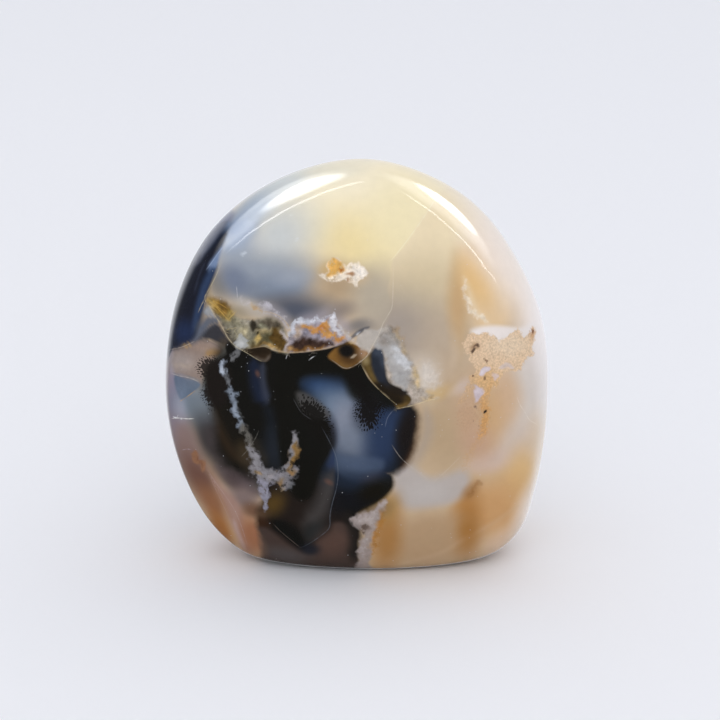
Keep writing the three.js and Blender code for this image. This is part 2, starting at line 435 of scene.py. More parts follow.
darkTints = {
    "flank umber": streak("#262014", [(214, 352), (207, 362), (204, 376), (206, 392)], 7, 5, 0.7),
    "flank brown": streak("#32261a", [
        (212, 402), (218, 418), (223, 434), (229, 449), (238, 461)], 10, 6, 0.85),
    "flank olive": blot("#2e2414", (243, 448), (7, 10), -25, 0.7, 0.9),
    "deep blue": streak("#1c2334", [(256, 362), (258, 385), (264, 404)], 14, 6, 0.95),
    "deep blue low": streak("#1a2029", [(266, 408), (270, 424), (271, 442)], 9, 6, 0.6),
    "deep grey": streak("#3d414f", [(266, 364), (265, 380), (266, 394), (267, 404)], 7, 4, 0.75),
    "deep low": blot("#232830", (273, 452), (11, 18), -5, 0.8, 0.9),
    "eye shadow": blot("#212b3d", (348, 428), (52, 56), -35, 0.9, 0.35),
    "eye top": blot("#2f4464", (323, 386), (19, 9), 8, 0.95, 0.8),
    "eye upper": blot("#6c7b8e", (335, 401), (19, 15), 0, 0.95, 0.8),
    "eye light": blot("#868b98", (344, 419), (15, 22), 10, 0.95, 0.8),
    "eye pale": blot("#757d8b", (355, 440), (23, 21), 0, 0.9, 0.8),
    "eye navy": blot("#2b3954", (388, 434), (18, 34), 20, 0.95, 0.8),
    "eye rim": blot("#1b1614", (409, 432), (9, 30), 8, 0.92, 0.8),
    "eye shelf": patch("#4d5a6f", [
        (336, 455), (350, 454), (370, 454.5), (384, 458), (382, 468), (366, 477), (350, 478),
        (338, 470)], 4, 0.6),
    "eye shelf glow": blot("#4d5a70", (357, 462), (15, 6), 0, 0.6, 0.9),
    "eye low": blot("#222c3c", (356, 483), (26, 10), -6, 0.8, 0.9),
    "eye smoke": blot("#37363f", (372, 476), (9, 6), -20, 0.6, 0.9),
    "eye under": blot("#15161a", (352, 500), (30, 13), -14, 0.85, 0.8),
    "ring brown": streak("#553826", [
        (420, 410), (421, 430), (418, 448), (409, 464), (399, 473)], 6, 5, 0.85),
    "toe olive": streak("#4f3d1a", [(396, 479), (391, 491), (378, 503), (358, 514)], 5, 4, 0.95),
    "toe black": blot("#17140d", (374, 489), (14, 9), -25, 0.9, 0.8),
    "black head": patch("#13120e", [
        (290, 352), (345, 350), (366, 366), (354, 378), (338, 373), (316, 372), (303, 377), (301, 392),
        (316, 408), (330, 424), (334, 446), (325, 470), (314, 500), (296, 500), (282, 470), (276, 420),
        (280, 370)], 4, 0.95),
    "black shoulder": patch("#13120e", [
        (343, 370), (366, 372), (388, 398), (402, 408), (392, 411), (374, 407), (360, 402), (350, 395),
        (344, 383)], 5, 0.92),
    "fan bed": blot("#2f323c", (365, 413), (12, 14), 0, 0.6, 0.8),
    "fan ash": patch("#4c4a48", [
        (297, 394), (306, 393), (316, 398), (325, 405), (329, 412), (324, 416), (314, 418), (304, 414),
        (297, 405)], 3.5, 0.9),
    "fan dusk": blot("#2a2b35", (331, 430), (5, 14), -8, 0.6, 0.9),
    "cut blue": streak("#2c3751", [(335, 448), (335, 458), (333, 470)], 7, 4, 0.9, "cutPiece"),
    "cut veil": streak("#45413f", [
        (336, 474), (332, 488), (325, 502), (316, 516), (306, 524)], 15, 9, 0.9, "cutPiece"),
    "cut rust": blot("#674a40", (332, 484), (4, 2.5), 15, 0.7, 0.8, "cutPiece"),
    "cut slate": blot("#2b2d2d", (314, 533), (12, 9), -30, 0.85, 0.8, "cutPiece"),
    "cut tip": patch("#121210", [
        (270, 516), (296, 526), (306, 548), (292, 542), (278, 530)], 4, 0.9, "cutPiece"),
    "foot olive": blot("#54401f", (276, 502), (10, 11), -20, 0.95, 0.9),
    "foot rust": blot("#5d4634", (262, 511), (9, 6), 10, 0.85, 0.9),
    "foot shade": blot("#3a2416", (264, 521), (9, 5), 10, 0.85, 0.9),
    "foot mauve": patch("#4b3d37", [
        (254, 530), (268, 526), (280, 535), (301, 550), (316, 542), (328, 534), (331, 524), (342, 524),
        (350, 536), (354, 552), (352, 580), (254, 580)], 3.5, 0.9),
    "foot rose": blot("#5b453c", (332, 545), (15, 14), 0, 0.85, 0.8),
    "foot grey": blot("#534d4c", (284, 553), (22, 7), 6, 0.8, 0.8),
    "foot blue": blot("#1f2129", (309, 548), (9, 5), 15, 0.85, 0.7),
    "foot dark": streak("#221e1b", [(346, 514), (351, 530), (354, 548), (353, 562)], 13, 6, 0.9),
    "ember": blot("#6e4a3c", (259.5, 375), (2.2, 3.2), -25, 0.7, 0.8),
    "foot edge": streak("#6a5447", [(258, 534), (261, 545), (262, 556)], 8, 5, 0.8),
    "flank haze": blot("#44392b", (243, 456), (7, 13), -20, 0.75, 0.9),
    "vein haze": streak("#38322a", [(253, 440), (258, 452), (264, 462)], 8, 6, 0.6),
}

# Translucent crusts along the old fracture, full of grains and tiny crystals
crustShapes = {
    "lens": patch("#88826f", [
        (207, 303), (216, 306), (226, 311), (236, 316), (246, 319), (256, 319), (266, 317), (275, 318),
        (283, 325), (288, 338), (288, 352.5), (281.4, 351.8), (274, 350), (264, 346.4), (257, 347.3),
        (249.5, 348.6), (244, 348.6), (237.7, 347.7), (232.3, 343.2), (227.3, 336.8), (224, 330.5),
        (219.5, 322.3), (214.5, 315), (209.5, 306.8)], 2.6),
    "golden fan": patch("#7d5f22", [
        (204.5, 299), (212, 297.5), (220, 299), (226, 302), (231, 307), (234, 313), (231, 319),
        (226, 320), (221, 317), (215, 313), (210, 306.5)], 3.6, 0.95),
    "fuzz bed": patch("#968d93", [
        (286, 352), (286, 342), (290, 332), (296, 325), (304, 321), (314, 321), (322, 319), (329, 316),
        (335, 324), (343, 333), (350, 339), (347, 342), (339, 345), (330, 347.3), (319.5, 349.5),
        (304, 351.8)], 1.6),
    "slab": patch("#a79c90", [
        (361, 361), (371, 350), (375, 340), (381, 330), (387, 325), (395, 328), (402, 340), (407, 352),
        (413, 362), (418, 372), (421, 386), (428, 394), (439, 398), (429, 400), (422, 402), (414, 404),
        (406, 405.5), (400, 404), (395, 394), (386, 385), (377, 376), (368, 366)], 2.6, 0.9),
}
crustTints = {
    "lens haze": blot("#a39a8a", (250, 321), (12, 3), 0, 0.8, 0.9),
    "lens clear": blot("#6c6659", (222, 325), (5, 9), -28, 0.8, 0.8),
    "lens dim": patch("#51483b", [
        (258, 322), (266, 319), (275, 320), (282, 326), (284, 332), (276, 330), (266, 328),
        (260, 326)], 3.5, 0.9),
    "lens arch": streak("#7f776c", [
        (266, 316), (274, 318), (281, 323), (285, 333), (286, 345)], 4, 2.5, 0.7),
    "lens rim": streak("#a78a5f", [(272, 313), (281, 318), (288, 327), (291, 335)], 2.5, 1.6, 0.8),
    "lens moss": blot("#625f50", (252, 337), (5, 5), 10, 0.7, 0.8),
    "lens dark": patch("#2a251c", [
        (250.5, 321), (253, 319), (256, 323.5), (260, 327), (261, 330), (256, 330.5),
        (252, 328)], 1.6, 0.95),
    "lens cream": blot("#bdb08c", (244, 332), (4, 6), 20, 0.85, 0.8),
    "lens cream two": blot("#b8a376", (264, 331), (7, 3), -15, 0.85, 0.8),
    "lens sage": blot("#87846c", (262, 326), (3.5, 3), 0, 0.8, 0.8),
    "lens yellow": blot("#b79a58", (257.5, 339), (4, 4.5), 15, 0.9, 0.7),
    "lens dun": blot("#8f886b", (252, 343), (8, 3), 0, 0.75, 0.8),
    "lens deep": blot("#4c462c", (269, 338), (7, 7), 0, 0.9, 0.8),
    "lens umber": patch("#513b18", [
        (273, 328), (281, 332), (285, 342), (284, 351), (276, 348), (271, 338)], 2.5, 0.95),
    "lens spot": blot("#2a2418", (257.5, 334.5), (1.8, 1.3), 0, 0.9, 0.6),
    "lens spot two": blot("#2a2a28", (247, 342), (2.2, 0.9), 20, 0.8, 0.6),
    "lens gold": streak("#a8844c", [
        (250, 347.5), (258, 346), (266, 344.5), (273, 347), (280, 350)], 3, 1.6, 0.9),
    "lens lilac": streak("#b5aaa9", [(283, 332), (286, 341), (286.5, 352)], 3.5, 1.5, 0.8),
    "fan gold": streak("#b08d42", [(205, 299), (212, 302), (219, 308), (226, 317)], 3, 2, 0.85),
    "fan brown": blot("#5c4212", (223, 306), (4.5, 5), 35, 0.9, 0.8),
    "fan light": streak("#a28a48", [(228, 314), (233, 312), (236, 310)], 3, 1.5, 0.8),
    "fan rust": streak("#8e6425", [(224, 311), (227, 316), (229, 320)], 2.5, 1.2, 0.8),
    "bed cream": blot("#b29b82", (298, 332), (4, 6), 25, 0.8, 0.8),
    "bed lilac": streak("#8c8792", [(300, 334), (310, 331.5), (320, 334), (330, 339)], 7, 3, 0.85),
    "bed rose": blot("#a08f8c", (338, 342), (10, 3), -16, 0.8, 0.8),
    "bed brown": patch("#33221a", [
        (289, 348), (294, 342), (303, 338.5), (314, 338.5), (326, 342), (335, 344), (326, 348),
        (304, 351), (291, 352)], 3, 0.95),
    "bed glow": streak("#8b5f2b", [(291, 350.5), (302, 349.8), (312, 348.8), (324, 347)], 3, 2, 0.85),
    "bed corner": blot("#b08a58", (291, 350), (3.5, 3), 0, 0.9, 0.8),
    "slab grey": blot("#8b857e", (392, 334), (10, 9), 20, 0.85, 0.8),
    "slab fawn": streak("#a69272", [(398, 331), (403, 342), (408, 353)], 5, 2.5, 0.8),
    "slab stone": blot("#a99e93", (413, 391), (9, 7), 20, 0.9, 0.8),
    "slab ochre": streak("#c6ad80", [(421, 362), (417, 374), (418, 387)], 6, 4, 0.85),
    "slab cream": blot("#c9a873", (431, 397.5), (8, 2.5), -14, 0.8, 0.8),
    "lens olive": blot("#817a5f", (233, 321), (8, 5), 30, 0.6, 0.9),
    "lens glass": streak("#423d34", [(223, 328), (229, 336), (236, 344)], 7, 3, 0.8),
    "lens low": streak("#4c3c1f", [(250, 346), (258, 344), (266, 343)], 5, 3, 0.7),
    "fan straw": blot("#c0a468", (212, 302), (5, 4), 40, 0.85, 0.8),
    "fan branch": streak("#a58d4e", [(227, 319), (231, 315), (236, 311.5)], 3.5, 1.8, 0.85),
}

# Clear plates between the fractures, each with a clean edge
plateShapes = {
    "navy rim": patch("#1b2232", [
        (228, 232), (222, 249), (218, 262), (217, 268), (212, 282), (206, 296), (205, 304), (201, 316),
        (193, 336), (185, 345), (170, 348), (150, 350), (150, 300), (178, 240), (210, 205), (226, 216),
        (230, 224)], 2.2),
    "tan plate": patch("#8c7c73", [
        (150, 348), (168, 348), (184, 346), (191, 341), (200, 339.5), (209, 340), (216, 342.5),
        (223, 347), (222, 352), (214, 359), (207, 366), (203, 376), (201, 385), (197.5, 380.5),
        (186, 377), (176, 374), (150, 370)], 2.4, 0.95),
    "blue wedge": patch("#5e6c7e", [
        (174.5, 374.5), (186, 377), (197.5, 380.6), (201, 385), (197.5, 388.7), (190, 395),
        (182.5, 399.5), (179, 397), (175, 386)], 1.6, 0.9),
    "slate": patch("#38373b", [
        (205, 328), (214, 322), (219.5, 324), (224, 331), (229, 340), (224, 347), (216, 343), (208, 340),
        (198, 339), (190, 341), (196, 334)], 3.4),
    "grey band": patch("#63656c", [
        (187, 347), (192, 338), (198, 329), (203, 322), (207, 317), (213, 316), (218, 317), (219, 323),
        (212, 325), (206, 330), (201, 337), (195, 343)], 3.2, 1.0),
    "pale chip": patch("#8a9198", [
        (203, 313), (205, 309), (209, 306), (212, 311), (215, 317), (209, 316)], 1.6, 0.8),
    "lap": patch("#32261a", [
        (244, 348.8), (250, 348.8), (257, 347.5), (264, 346.6), (270, 349), (271, 357), (267, 361.4),
        (262.7, 361.4), (258.6, 360), (253.2, 356.8)], 1.4),
    "drop": patch("#7d5a2c", [
        (328, 357), (332.3, 351), (337.7, 347.2), (343, 344.5), (348, 342), (357.7, 345.5), (363, 348.5),
        (369, 353), (366.5, 357), (360.5, 361.8), (354, 366), (348.6, 368.2), (343, 367.7),
        (336, 363)], 1.8),
    "blade": patch("#545459", [
        (348.6, 340.5), (351.4, 336), (356.8, 331.2), (362.3, 328), (369.5, 326.5), (366.8, 329.5),
        (361.4, 333.2), (355, 336.8)], 1.4, 0.9),
    "slab strip": patch("#514023", [
        (361, 361), (367, 356), (374, 350), (380, 354), (384, 366), (388, 380), (396, 388), (405, 392),
        (412, 399), (408, 405.5), (404, 407), (398, 408.5), (389, 398), (379, 390), (371, 381),
        (365, 371)], 1.6),
    "slab night": patch("#262a33", [
        (371, 354), (374, 348), (380, 347), (384, 355), (385, 364), (388, 380), (394, 384.5), (402, 388),
        (408, 392), (405, 396), (394, 394), (384, 388), (377, 380), (372, 368)], 2.2),
}
plateTints = {
    "rim top": blot("#8496ae", (236, 222), (12, 12), -48, 1, 0.8),
    "rim grey": patch("#7b7e8a", [
        (226, 217), (228, 222), (218, 236), (208, 250), (199, 264), (190, 262), (206, 234),
        (218, 218)], 3, 0.9),
    "rim black": patch("#1c1e28", [
        (228, 235), (222, 245), (215, 256), (209, 266), (203, 276), (199, 288), (198, 304), (197, 330),
        (184, 346), (160, 350), (168, 330), (180, 300), (187, 285), (195, 270), (204, 256), (213, 247),
        (221, 239), (226, 234)], 3, 0.95),
    "rim edge": streak("#3c3d4a", [
        (200, 256), (190, 272), (181, 292), (174, 320), (171, 345)], 4, 3, 0.7),
    "rim blue": patch("#8094b4", [
        (234, 230), (237, 236), (229, 248), (222, 259), (215, 270), (209, 272), (209, 264), (213, 258),
        (218, 251), (224, 243), (229, 236)], 2.6, 0.9),
    "rim navy": patch("#31405c", [
        (216, 270), (212, 280), (207, 292), (205, 304), (200, 318), (191, 335), (194, 312), (200, 290),
        (206, 276), (211, 268)], 3, 0.95),
    "rim low": blot("#243150", (184, 332), (10, 12), 0, 0.8, 0.8),
    # painted reflection: a faint pale streak along the dark left rim
    "rim reflection streak": streak("#4b5266", [(205, 262), (199, 276), (194, 294)], 1.4, 1.2, 0.4),
    "tan edge": streak("#a09aab", [(171, 350), (170, 362), (172, 376)], 5, 3, 0.8),
    "tan grey": blot("#a2968f", (181, 362), (14, 9), 8, 0.85, 0.8),
    "tan top": blot("#9c8473", (200, 347), (16, 5), 0, 0.5, 0.8),
    "tan gold": streak("#a5804e", [(206, 355), (212, 352.5), (221, 353)], 6, 3, 0.8),
    "tan cream": streak("#b3a08c", [(174, 365), (183, 365.5), (192, 367)], 2.5, 2, 0.6),
    "tan spark": blot("#b8935c", (186.5, 345.5), (5, 1.8), -8, 0.8, 0.7),
    "tan shade": blot("#1f1912", (228, 358), (12, 13), 0, 0.95, 0.7),
    "wedge pale": blot("#6f7b8c", (180, 393), (5, 7), 0, 0.7, 0.8),
    "chip glow": blot("#a3a9ad", (207, 310), (3.5, 1.6), 20, 0.7, 0.8),
    "band grey": blot("#59606e", (201, 327), (5, 7), 30, 0.85, 0.8),
    "slate brown": blot("#4b4238", (224, 343), (5, 5), 0, 0.8, 0.8),
    "lap haze": streak("#726961", [(254, 357), (260, 360), (266, 360.5), (270, 355)], 3, 2.4, 0.7),
    "lap deep": blot("#20180f", (257, 350.5), (12, 4), 4, 0.8, 0.9),
    "drop rust": blot("#7a5628", (337, 356), (6, 6), 0, 0.8, 0.8),
    "drop low": blot("#8d6c3e", (345, 365.5), (7, 2.2), 0, 0.5, 0.8),
    "drop pink": blot("#ac8c72", (362, 353.5), (5.5, 6.5), 30, 0.9, 0.8),
    "drop shade": blot("#46301a", (349.5, 356), (10.5, 9.5), 15, 0.9, 0.7),
    "drop black": blot("#131110", (346.5, 350.5), (7.8, 6.4), 10, 0.97, 0.4),
    # painted highlight: the small glint on the drop
    "drop glint": blot("#c7b9a4", (353.5, 356.3), (3.2, 1.1), -28, 0.8, 0.7),
    # painted highlight: the white glint on the blade
    "blade glint": blot("#dcdfe2", (357.8, 333.6), (1.9, 0.9), -22, 0.95, 0.6),
    "strip top": blot("#93835c", (366, 361), (3.5, 4), 0, 0.8, 0.8),
    "strip gold": streak("#6d5930", [(368, 366), (371, 374), (375, 381)], 4, 2.5, 0.7),
    "strip dark": streak("#1c160e", [(376, 384), (386, 393), (395, 399), (401, 401.5)], 9, 3.5, 0.9),
    "slab end": blot("#7e6233", (402, 405), (8, 2), -12, 0.7, 0.8),
    "night top": blot("#434a57", (378, 351), (5, 5), 0, 0.8, 0.8),
    "night mist": blot("#464d5a", (383.5, 360), (3.5, 9), -8, 0.65, 0.9),
    "night brown": blot("#231b12", (397, 392), (12, 7), 28, 0.9, 0.8),
    "night olive": blot("#4a3b1c", (408, 398), (4, 2), 25, 0.7, 0.8),
    "strip low": streak("#211a10", [(374, 384), (384, 394), (394, 401), (402, 403)], 5, 3, 0.9),
}

# White and coloured mineral that fills old cracks and hollows, with ragged edges
mineralShapes = {
    "vein crown": patch("#9ea6b2", [
        (220.5, 361), (224, 359.5), (226.5, 363), (226.5, 371), (225, 375), (221.5, 373),
        (219.5, 368.5)], 1.5, 0.95),
    "vein neck": streak("#67686b", [(225, 374), (227.5, 380), (229, 387)], 4.5, 1.8, 0.9),
    "vein": streak("#7f8894", [
        (229, 386), (232.5, 395), (235, 406), (238.5, 418), (243, 430)], 6.5, 2.2, 0.9),
    "vein low": streak("#6b6760", [(242, 424), (246, 434), (249, 444), (253, 456)], 6.5, 2.6, 0.9),
    "arm": streak("#8b888b", [(250, 448), (255, 459), (261, 468), (270, 474), (280, 473)], 9, 2.4, 0.9),
    "arm right": streak("#8d8a8d", [
        (279, 474), (286, 468), (291, 458), (294.5, 448), (295.5, 438), (293, 431)], 6, 1.8, 0.85),
    "arm ochre": streak("#9a7745", [(296.5, 442), (296, 452), (292, 462), (289, 469)], 4.5, 2.0, 0.8),
    "tail": patch("#8d8b97", [
        (257, 470), (270, 474), (284, 473), (288, 479), (284, 483), (276, 480), (270.5, 486), (268, 497),
        (266.5, 512), (264.5, 508), (262, 497), (258.5, 485)], 1.8, 0.95),
    "tail two": patch("#9a8463", [(277, 478), (284, 478), (286, 482), (281, 491), (279, 484)], 1.6, 0.85),
    "tail three": blot("#77777a", (289, 486), (4.5, 5), 40, 0.75, 0.4),
    "vein head": patch("#6c6c6c", [
        (235, 347), (241, 349), (239.5, 354), (236, 360), (233.5, 363.5), (231, 362), (230.5, 358),
        (232.5, 353)], 1.6, 0.85),
    "fuzz left": patch("#bdb9bf", [
        (258, 304), (263, 301), (268, 304.5), (275, 310), (281, 313.5), (275, 312.5), (268, 310.5),
        (262, 310.5)], 2.0, 0.75),
    "ochre left": patch("#be954e", [
        (251, 307), (254, 303.5), (258, 305), (260.5, 310.5), (255, 309.8)], 1.5, 0.9),
    "fuzz edge": patch("#c3c6d0", [
        (288, 333), (292, 326), (297, 319), (303, 317.5), (309, 321), (304, 324.5), (298, 325.5),
        (294, 331), (290, 337)], 1.8, 0.8),
    "fuzz right": patch("#d6d5da", [
        (329.5, 317), (333, 314.5), (337, 320), (340.5, 327), (346, 334), (351, 339.5), (345, 337),
        (338, 334), (332.5, 330), (329, 324)], 1.8, 0.9),
    "rust": patch("#c08a48", [
        (300, 324), (308, 325), (315, 327.5), (319, 325), (324, 320.5), (328.5, 318), (329.5, 325),
        (333, 331.5), (339, 335.5), (346, 337), (346, 341), (336, 341), (327, 338.5), (319, 334),
        (311, 331.5), (303, 329)], 2.4, 0.95),
    "inclusion": patch("#e9dac5", [
        (317, 276), (324, 273.5), (327, 266), (331, 260), (338, 257.5), (344, 264.5), (353, 263),
        (361, 265), (368, 275), (361, 281), (358, 287), (353, 282), (342, 280.5), (330, 281)], 1.6),
    "join gold": blot("#b98f4a", (352, 342.3), (3.6, 1.8), -8, 0.9, 0.5),
    "foot crumb": patch("#4d3c31", [
        (359, 526), (364, 524.5), (369, 526.5), (369, 530), (363, 531.5)], 1.4, 0.8),
    "foot crumbs": streak("#a87334", [(384, 510), (380, 522), (376, 536), (373, 552)], 5, 3, 0.75),
    "rust crumb": patch("#8d6238", [
        (467, 496), (470, 489), (475, 483), (480, 481.5), (476, 488), (471, 494)], 2.2, 0.45),
    "arm heart": patch("#8d898c", [
        (251, 462), (258, 466), (268, 472), (280, 473), (290, 468), (297, 466), (297, 473), (289, 480),
        (287, 489), (281, 488), (276, 482), (268, 482), (258, 478), (252, 470)], 3.4, 0.8),
    "fuzz arch": streak("#bdb6b6", [
        (238, 299), (250, 304), (262, 309), (274, 313), (284, 320), (290, 330)], 4, 2.6, 0.6),
    "fuzz crest": streak("#cfd1d9", [
        (290, 333), (294, 325), (301, 319.5), (311, 321.5), (321, 319), (328, 315)], 4, 2.2, 0.75),
    "fuzz trail": streak("#c6c2c4", [(330, 320), (338, 329), (347, 337), (356, 342)], 5, 2.6, 0.6),
    "slab snow": patch("#cbcbcc", [
        (393, 346), (398, 349), (404, 355), (409, 361), (412, 367), (407, 370), (401, 367), (398, 364),
        (396, 356)], 2.6, 0.6),
    "slab grains": streak("#c2a472", [(421, 362), (417, 372), (418, 384)], 5, 4, 0.45),
    "slab grains two": streak("#a58963", [(391, 326), (400, 333), (404, 343)], 4, 3, 0.5),
    "slab haze": patch("#d3cac0", [
        (422, 362), (431, 364), (438, 374), (438, 386), (430, 390), (423, 386), (421, 374)], 6, 0.5),
    "lilac frost": patch("#b0a5a0", [
        (352, 516), (364, 514), (376, 508), (385, 500), (387, 504), (378, 516), (372, 530), (366, 548),
        (362, 560), (359, 556), (364, 540), (369, 526), (362, 522), (353, 521)], 3, 0.6),
    "honey crumbs": streak("#efe4d2", [
        (464, 282), (465, 291), (467, 300), (471, 309), (478, 316), (486, 321)], 4, 2.6, 0.6),
}
mineralTints = {
    "crown bright": blot("#c3cad4", (224.5, 369), (3, 2.6), 0, 0.8, 0.8),
    "crown hole": blot("#33363b", (225, 363.5), (1.5, 1.1), 0, 0.8, 0.7),
    "neck hole": blot("#14120f", (227.5, 384.8), (1.5, 1.3), 0, 0.9, 0.6),
    "vein bright": blot("#a3adba", (236.5, 413), (2.2, 7), -15, 0.7, 0.8),
    "vein shade": streak("#4a473f", [(238, 396), (240, 408), (243.5, 420)], 3, 2, 0.7),
    "arm gold": blot("#a8875a", (257.5, 473), (2.6, 1.6), 20, 0.8, 0.8),
    "arm white": streak("#a8a5ab", [(262, 473), (270, 477), (279, 476)], 3, 2, 0.6),
    "arm rust": blot("#9f7540", (292, 471), (4, 2.6), 20, 0.8, 0.8),
    "arm specks": streak("#a0763f", [(291, 440), (288, 452), (285, 464)], 2, 1.3, 0.5),
    "fuzz white": blot("#dfe1e6", (299, 321), (3, 3), 0, 0.8, 0.8),
    "fuzz bright": streak("#e9e9ec", [(331, 317), (334, 323), (339, 329)], 3, 1.8, 0.8),
    "rust heart": blot("#b87430", (322, 329), (4, 3.4), -20, 0.85, 0.8),
    "rust pale": blot("#cf9c58", (330, 335), (5, 3), 25, 0.7, 0.8),
    "rust end": blot("#c08038", (341, 338.6), (4, 1.8), 5, 0.8, 0.8),
    "inclusion gold": patch("#dba552", [
        (327, 271), (329, 263), (335, 258), (341, 262), (345, 270), (338, 275), (330, 276)], 2.5, 0.95),
    "inclusion red": blot("#a9672f", (342, 270), (2.2, 2.2), 0, 0.85, 0.7),
    "inclusion dot": blot("#8a5a34", (350, 273.5), (2.2, 1.8), 0, 0.85, 0.7),
    "inclusion low dot": blot("#8a5a34", (347, 279.5), (1.8, 1.6), 0, 0.8, 0.7),
    "inclusion white": blot("#f1e9df", (360, 273), (7, 6), 0, 0.7, 0.8),
    "join dot": blot("#6a4a32", (359.6, 338), (1.3, 1.2), 0, 0.85, 0.6),
    "join rust": blot("#b08a58", (357, 341), (2.4, 2), 0, 0.7, 0.8),
    "arm amber": blot("#9a733f", (280, 483), (4, 2.4), -30, 0.7, 0.8),
    "ochre dot": blot("#c0924c", (255.5, 307.8), (4.6, 2.8), 20, 0.9, 0.7),
    "lens crumb": blot("#b39a62", (259, 337), (3, 3), 0, 0.7, 0.8),
}

# Chips of pale and rusty mineral, with edges that are only a little ragged, and one painted highlight
chipShapes = {
    "join": patch("#b5ada4", [
        (355, 344), (357, 337), (364, 332), (372, 329), (381, 329), (379, 338), (373, 347), (369, 352),
        (362, 347)], 1.8, 0.9),
    "lilac foot": patch("#9a8e89", [
        (386, 500), (387.5, 504), (382, 513), (377, 521), (374, 533), (372, 545), (370, 557), (371, 577),
        (354, 577), (358, 556), (361, 542), (363, 531), (357, 527), (350, 521), (352, 516), (362, 514),
        (372, 510), (379, 504), (382, 501)], 2.6, 0.9),
    "slab crystals": patch("#a9a6a3", [
        (375, 345), (379, 338), (386, 336), (393, 341), (399, 347), (403, 354), (408, 360), (412, 366),
        (412, 374), (409, 381), (406, 388), (401, 387), (397, 384), (392, 379), (390.5, 373), (388, 365),
        (386.5, 357), (382, 350)], 2.6, 0.9),
    "rust spot": patch("#8c644a", [
        (192.5, 451.5), (197, 450.5), (201, 458), (205, 461.5), (204.5, 468.5), (202, 472), (198.5, 465),
        (194.5, 463.5), (192.5, 457)], 1.8, 0.95),
    "island one": patch("#c9bdc4", [
        (479.5, 373), (482, 369), (487, 367), (490.5, 369.5), (488, 373.5), (483, 376)], 1.3, 0.9),
    "island two": patch("#cbbcb8", [
        (500, 367.5), (504, 364.5), (510, 364), (512, 367), (506, 369.5)], 1.5, 0.7),
    "island three": blot("#cbbdc2", (495, 377), (2.4, 4.4), 10, 0.6, 0.5),
    "island four": patch("#c6b8be", [
        (474, 389), (478, 386.5), (482, 388), (483, 394), (480.5, 401), (476, 402),
        (474, 396)], 1.5, 0.9),
    # painted highlight: the white glint on the left side of the stone
    "glint": blot("#eeeff1", (178, 417.8), (5, 1.3), -3, 0.9, 0.4),
    "vein crystals": patch("#adaeac", [
        (234.5, 346), (236, 342), (239, 340), (240, 336.5), (243, 334.5), (245, 338), (248, 340.5),
        (246, 344), (247, 347.5), (241, 348.5)], 1.6, 0.85),
    "fleck": blot("#d3d9df", (243.3, 254.8), (3.2, 2), 10, 0.5, 0.6),
    "fleck two": blot("#d9dcdc", (295.7, 239.3), (2, 2), 0, 0.5, 0.6),
    "fleck three": blot("#e3e6e2", (291, 216.7), (1.8, 1.8), 0, 0.5, 0.6),
}
chipTints = {
    "lilac low": blot("#968a87", (365, 552), (4, 9), 0, 0.7, 0.8),
    "lilac light": blot("#b3a8a4", (366, 520), (7, 3), 8, 0.7, 0.8),
    "join pale": streak("#b9b0a6", [(380, 330), (376, 338), (370, 348)], 3, 2, 0.7),
    "slab foot": blot("#c5c9cd", (389, 380), (3, 2), 10, 0.8, 0.8),
    "slab smooth": blot("#a1a09f", (401, 377), (7, 6), 0, 0.8, 0.8),
    "slab light": blot("#c3c4c6", (394, 349), (4, 4), 35, 0.8, 0.8),
    "slab white": blot("#cdced1", (401, 361), (6, 5), 40, 0.85, 0.8),
    "slab top": blot("#8e857c", (385, 341), (7, 4), 25, 0.85, 0.8),
    "rust slit": streak("#6a4537", [(198, 457), (201, 463), (202.5, 468)], 1.4, 1.0, 0.6),
    "island light": blot("#ddd4da", (484, 371), (3, 2), -20, 0.7, 0.8),
    "island four light": blot("#d8cdd3", (478, 391), (2.6, 3.4), 0, 0.7, 0.8),
    "crystals light": blot("#d2d3d2", (240, 344), (3, 2.2), 20, 0.8, 0.8),
}

# The patch of ochre sand that was caught in the stone
sandShapes = {
    "sand": patch("#d8ba98", [
        (467, 337.5), (475, 334), (482, 332), (494, 336.6), (500.7, 341), (506, 336.6), (511.4, 334.4),
        (517, 330.4), (518.6, 326), (521, 333), (525.7, 335.7), (530, 333), (533.3, 326), (535, 334),
        (533.8, 344.6), (532, 353.6), (525, 360.7), (521, 368), (517, 370.5), (508, 371.4), (501.6, 374),
        (499, 380.4), (497, 387.5), (490, 390), (487, 396.4), (485.5, 400), (483, 393), (477.5, 386.6),
        (471, 382), (473, 374), (474, 366), (471, 360), (469.5, 355.4), (464, 352), (463.7, 346.4)], 1.3),
    "strand": streak("#c9a57b", [
        (474, 374), (471, 384), (468, 392), (463, 399), (458, 405)], 4.5, 2.4, 0.7),
    "strand two": streak("#cfa068", [
        (490, 385), (486, 396), (484.5, 406), (487, 416), (485, 428)], 6, 2.4, 0.85),
    "strand dust": blot("#b8926f", (468, 416), (9, 14), 15, 0.35, 0.6),
    "sand tail": patch("#c99455", [
        (480, 401), (485, 404), (488.5, 411.6), (489, 420), (486.4, 430), (482, 437), (477, 441),
        (480, 430), (482, 418), (481, 409)], 2.6, 0.8),
    "tail dust": patch("#c59a63", [
        (478, 440), (470, 447), (466, 462), (463, 470), (470, 458), (476, 448), (484, 438)], 4, 0.3),
}
sandTints = {
    "sand orange": blot("#cfa26a", (487, 381), (14, 11), 0, 0.7, 0.8),
    "sand pale": blot("#dcc5a8", (510, 345), (20, 11), 0, 0.8, 0.8),
    "sand brown": blot("#8f6a48", (474, 347.5), (3.6, 4), 20, 0.6, 0.9),
    "sand corner": blot("#b07a46", (531, 334), (3, 5), 0, 0.7, 0.8),
}
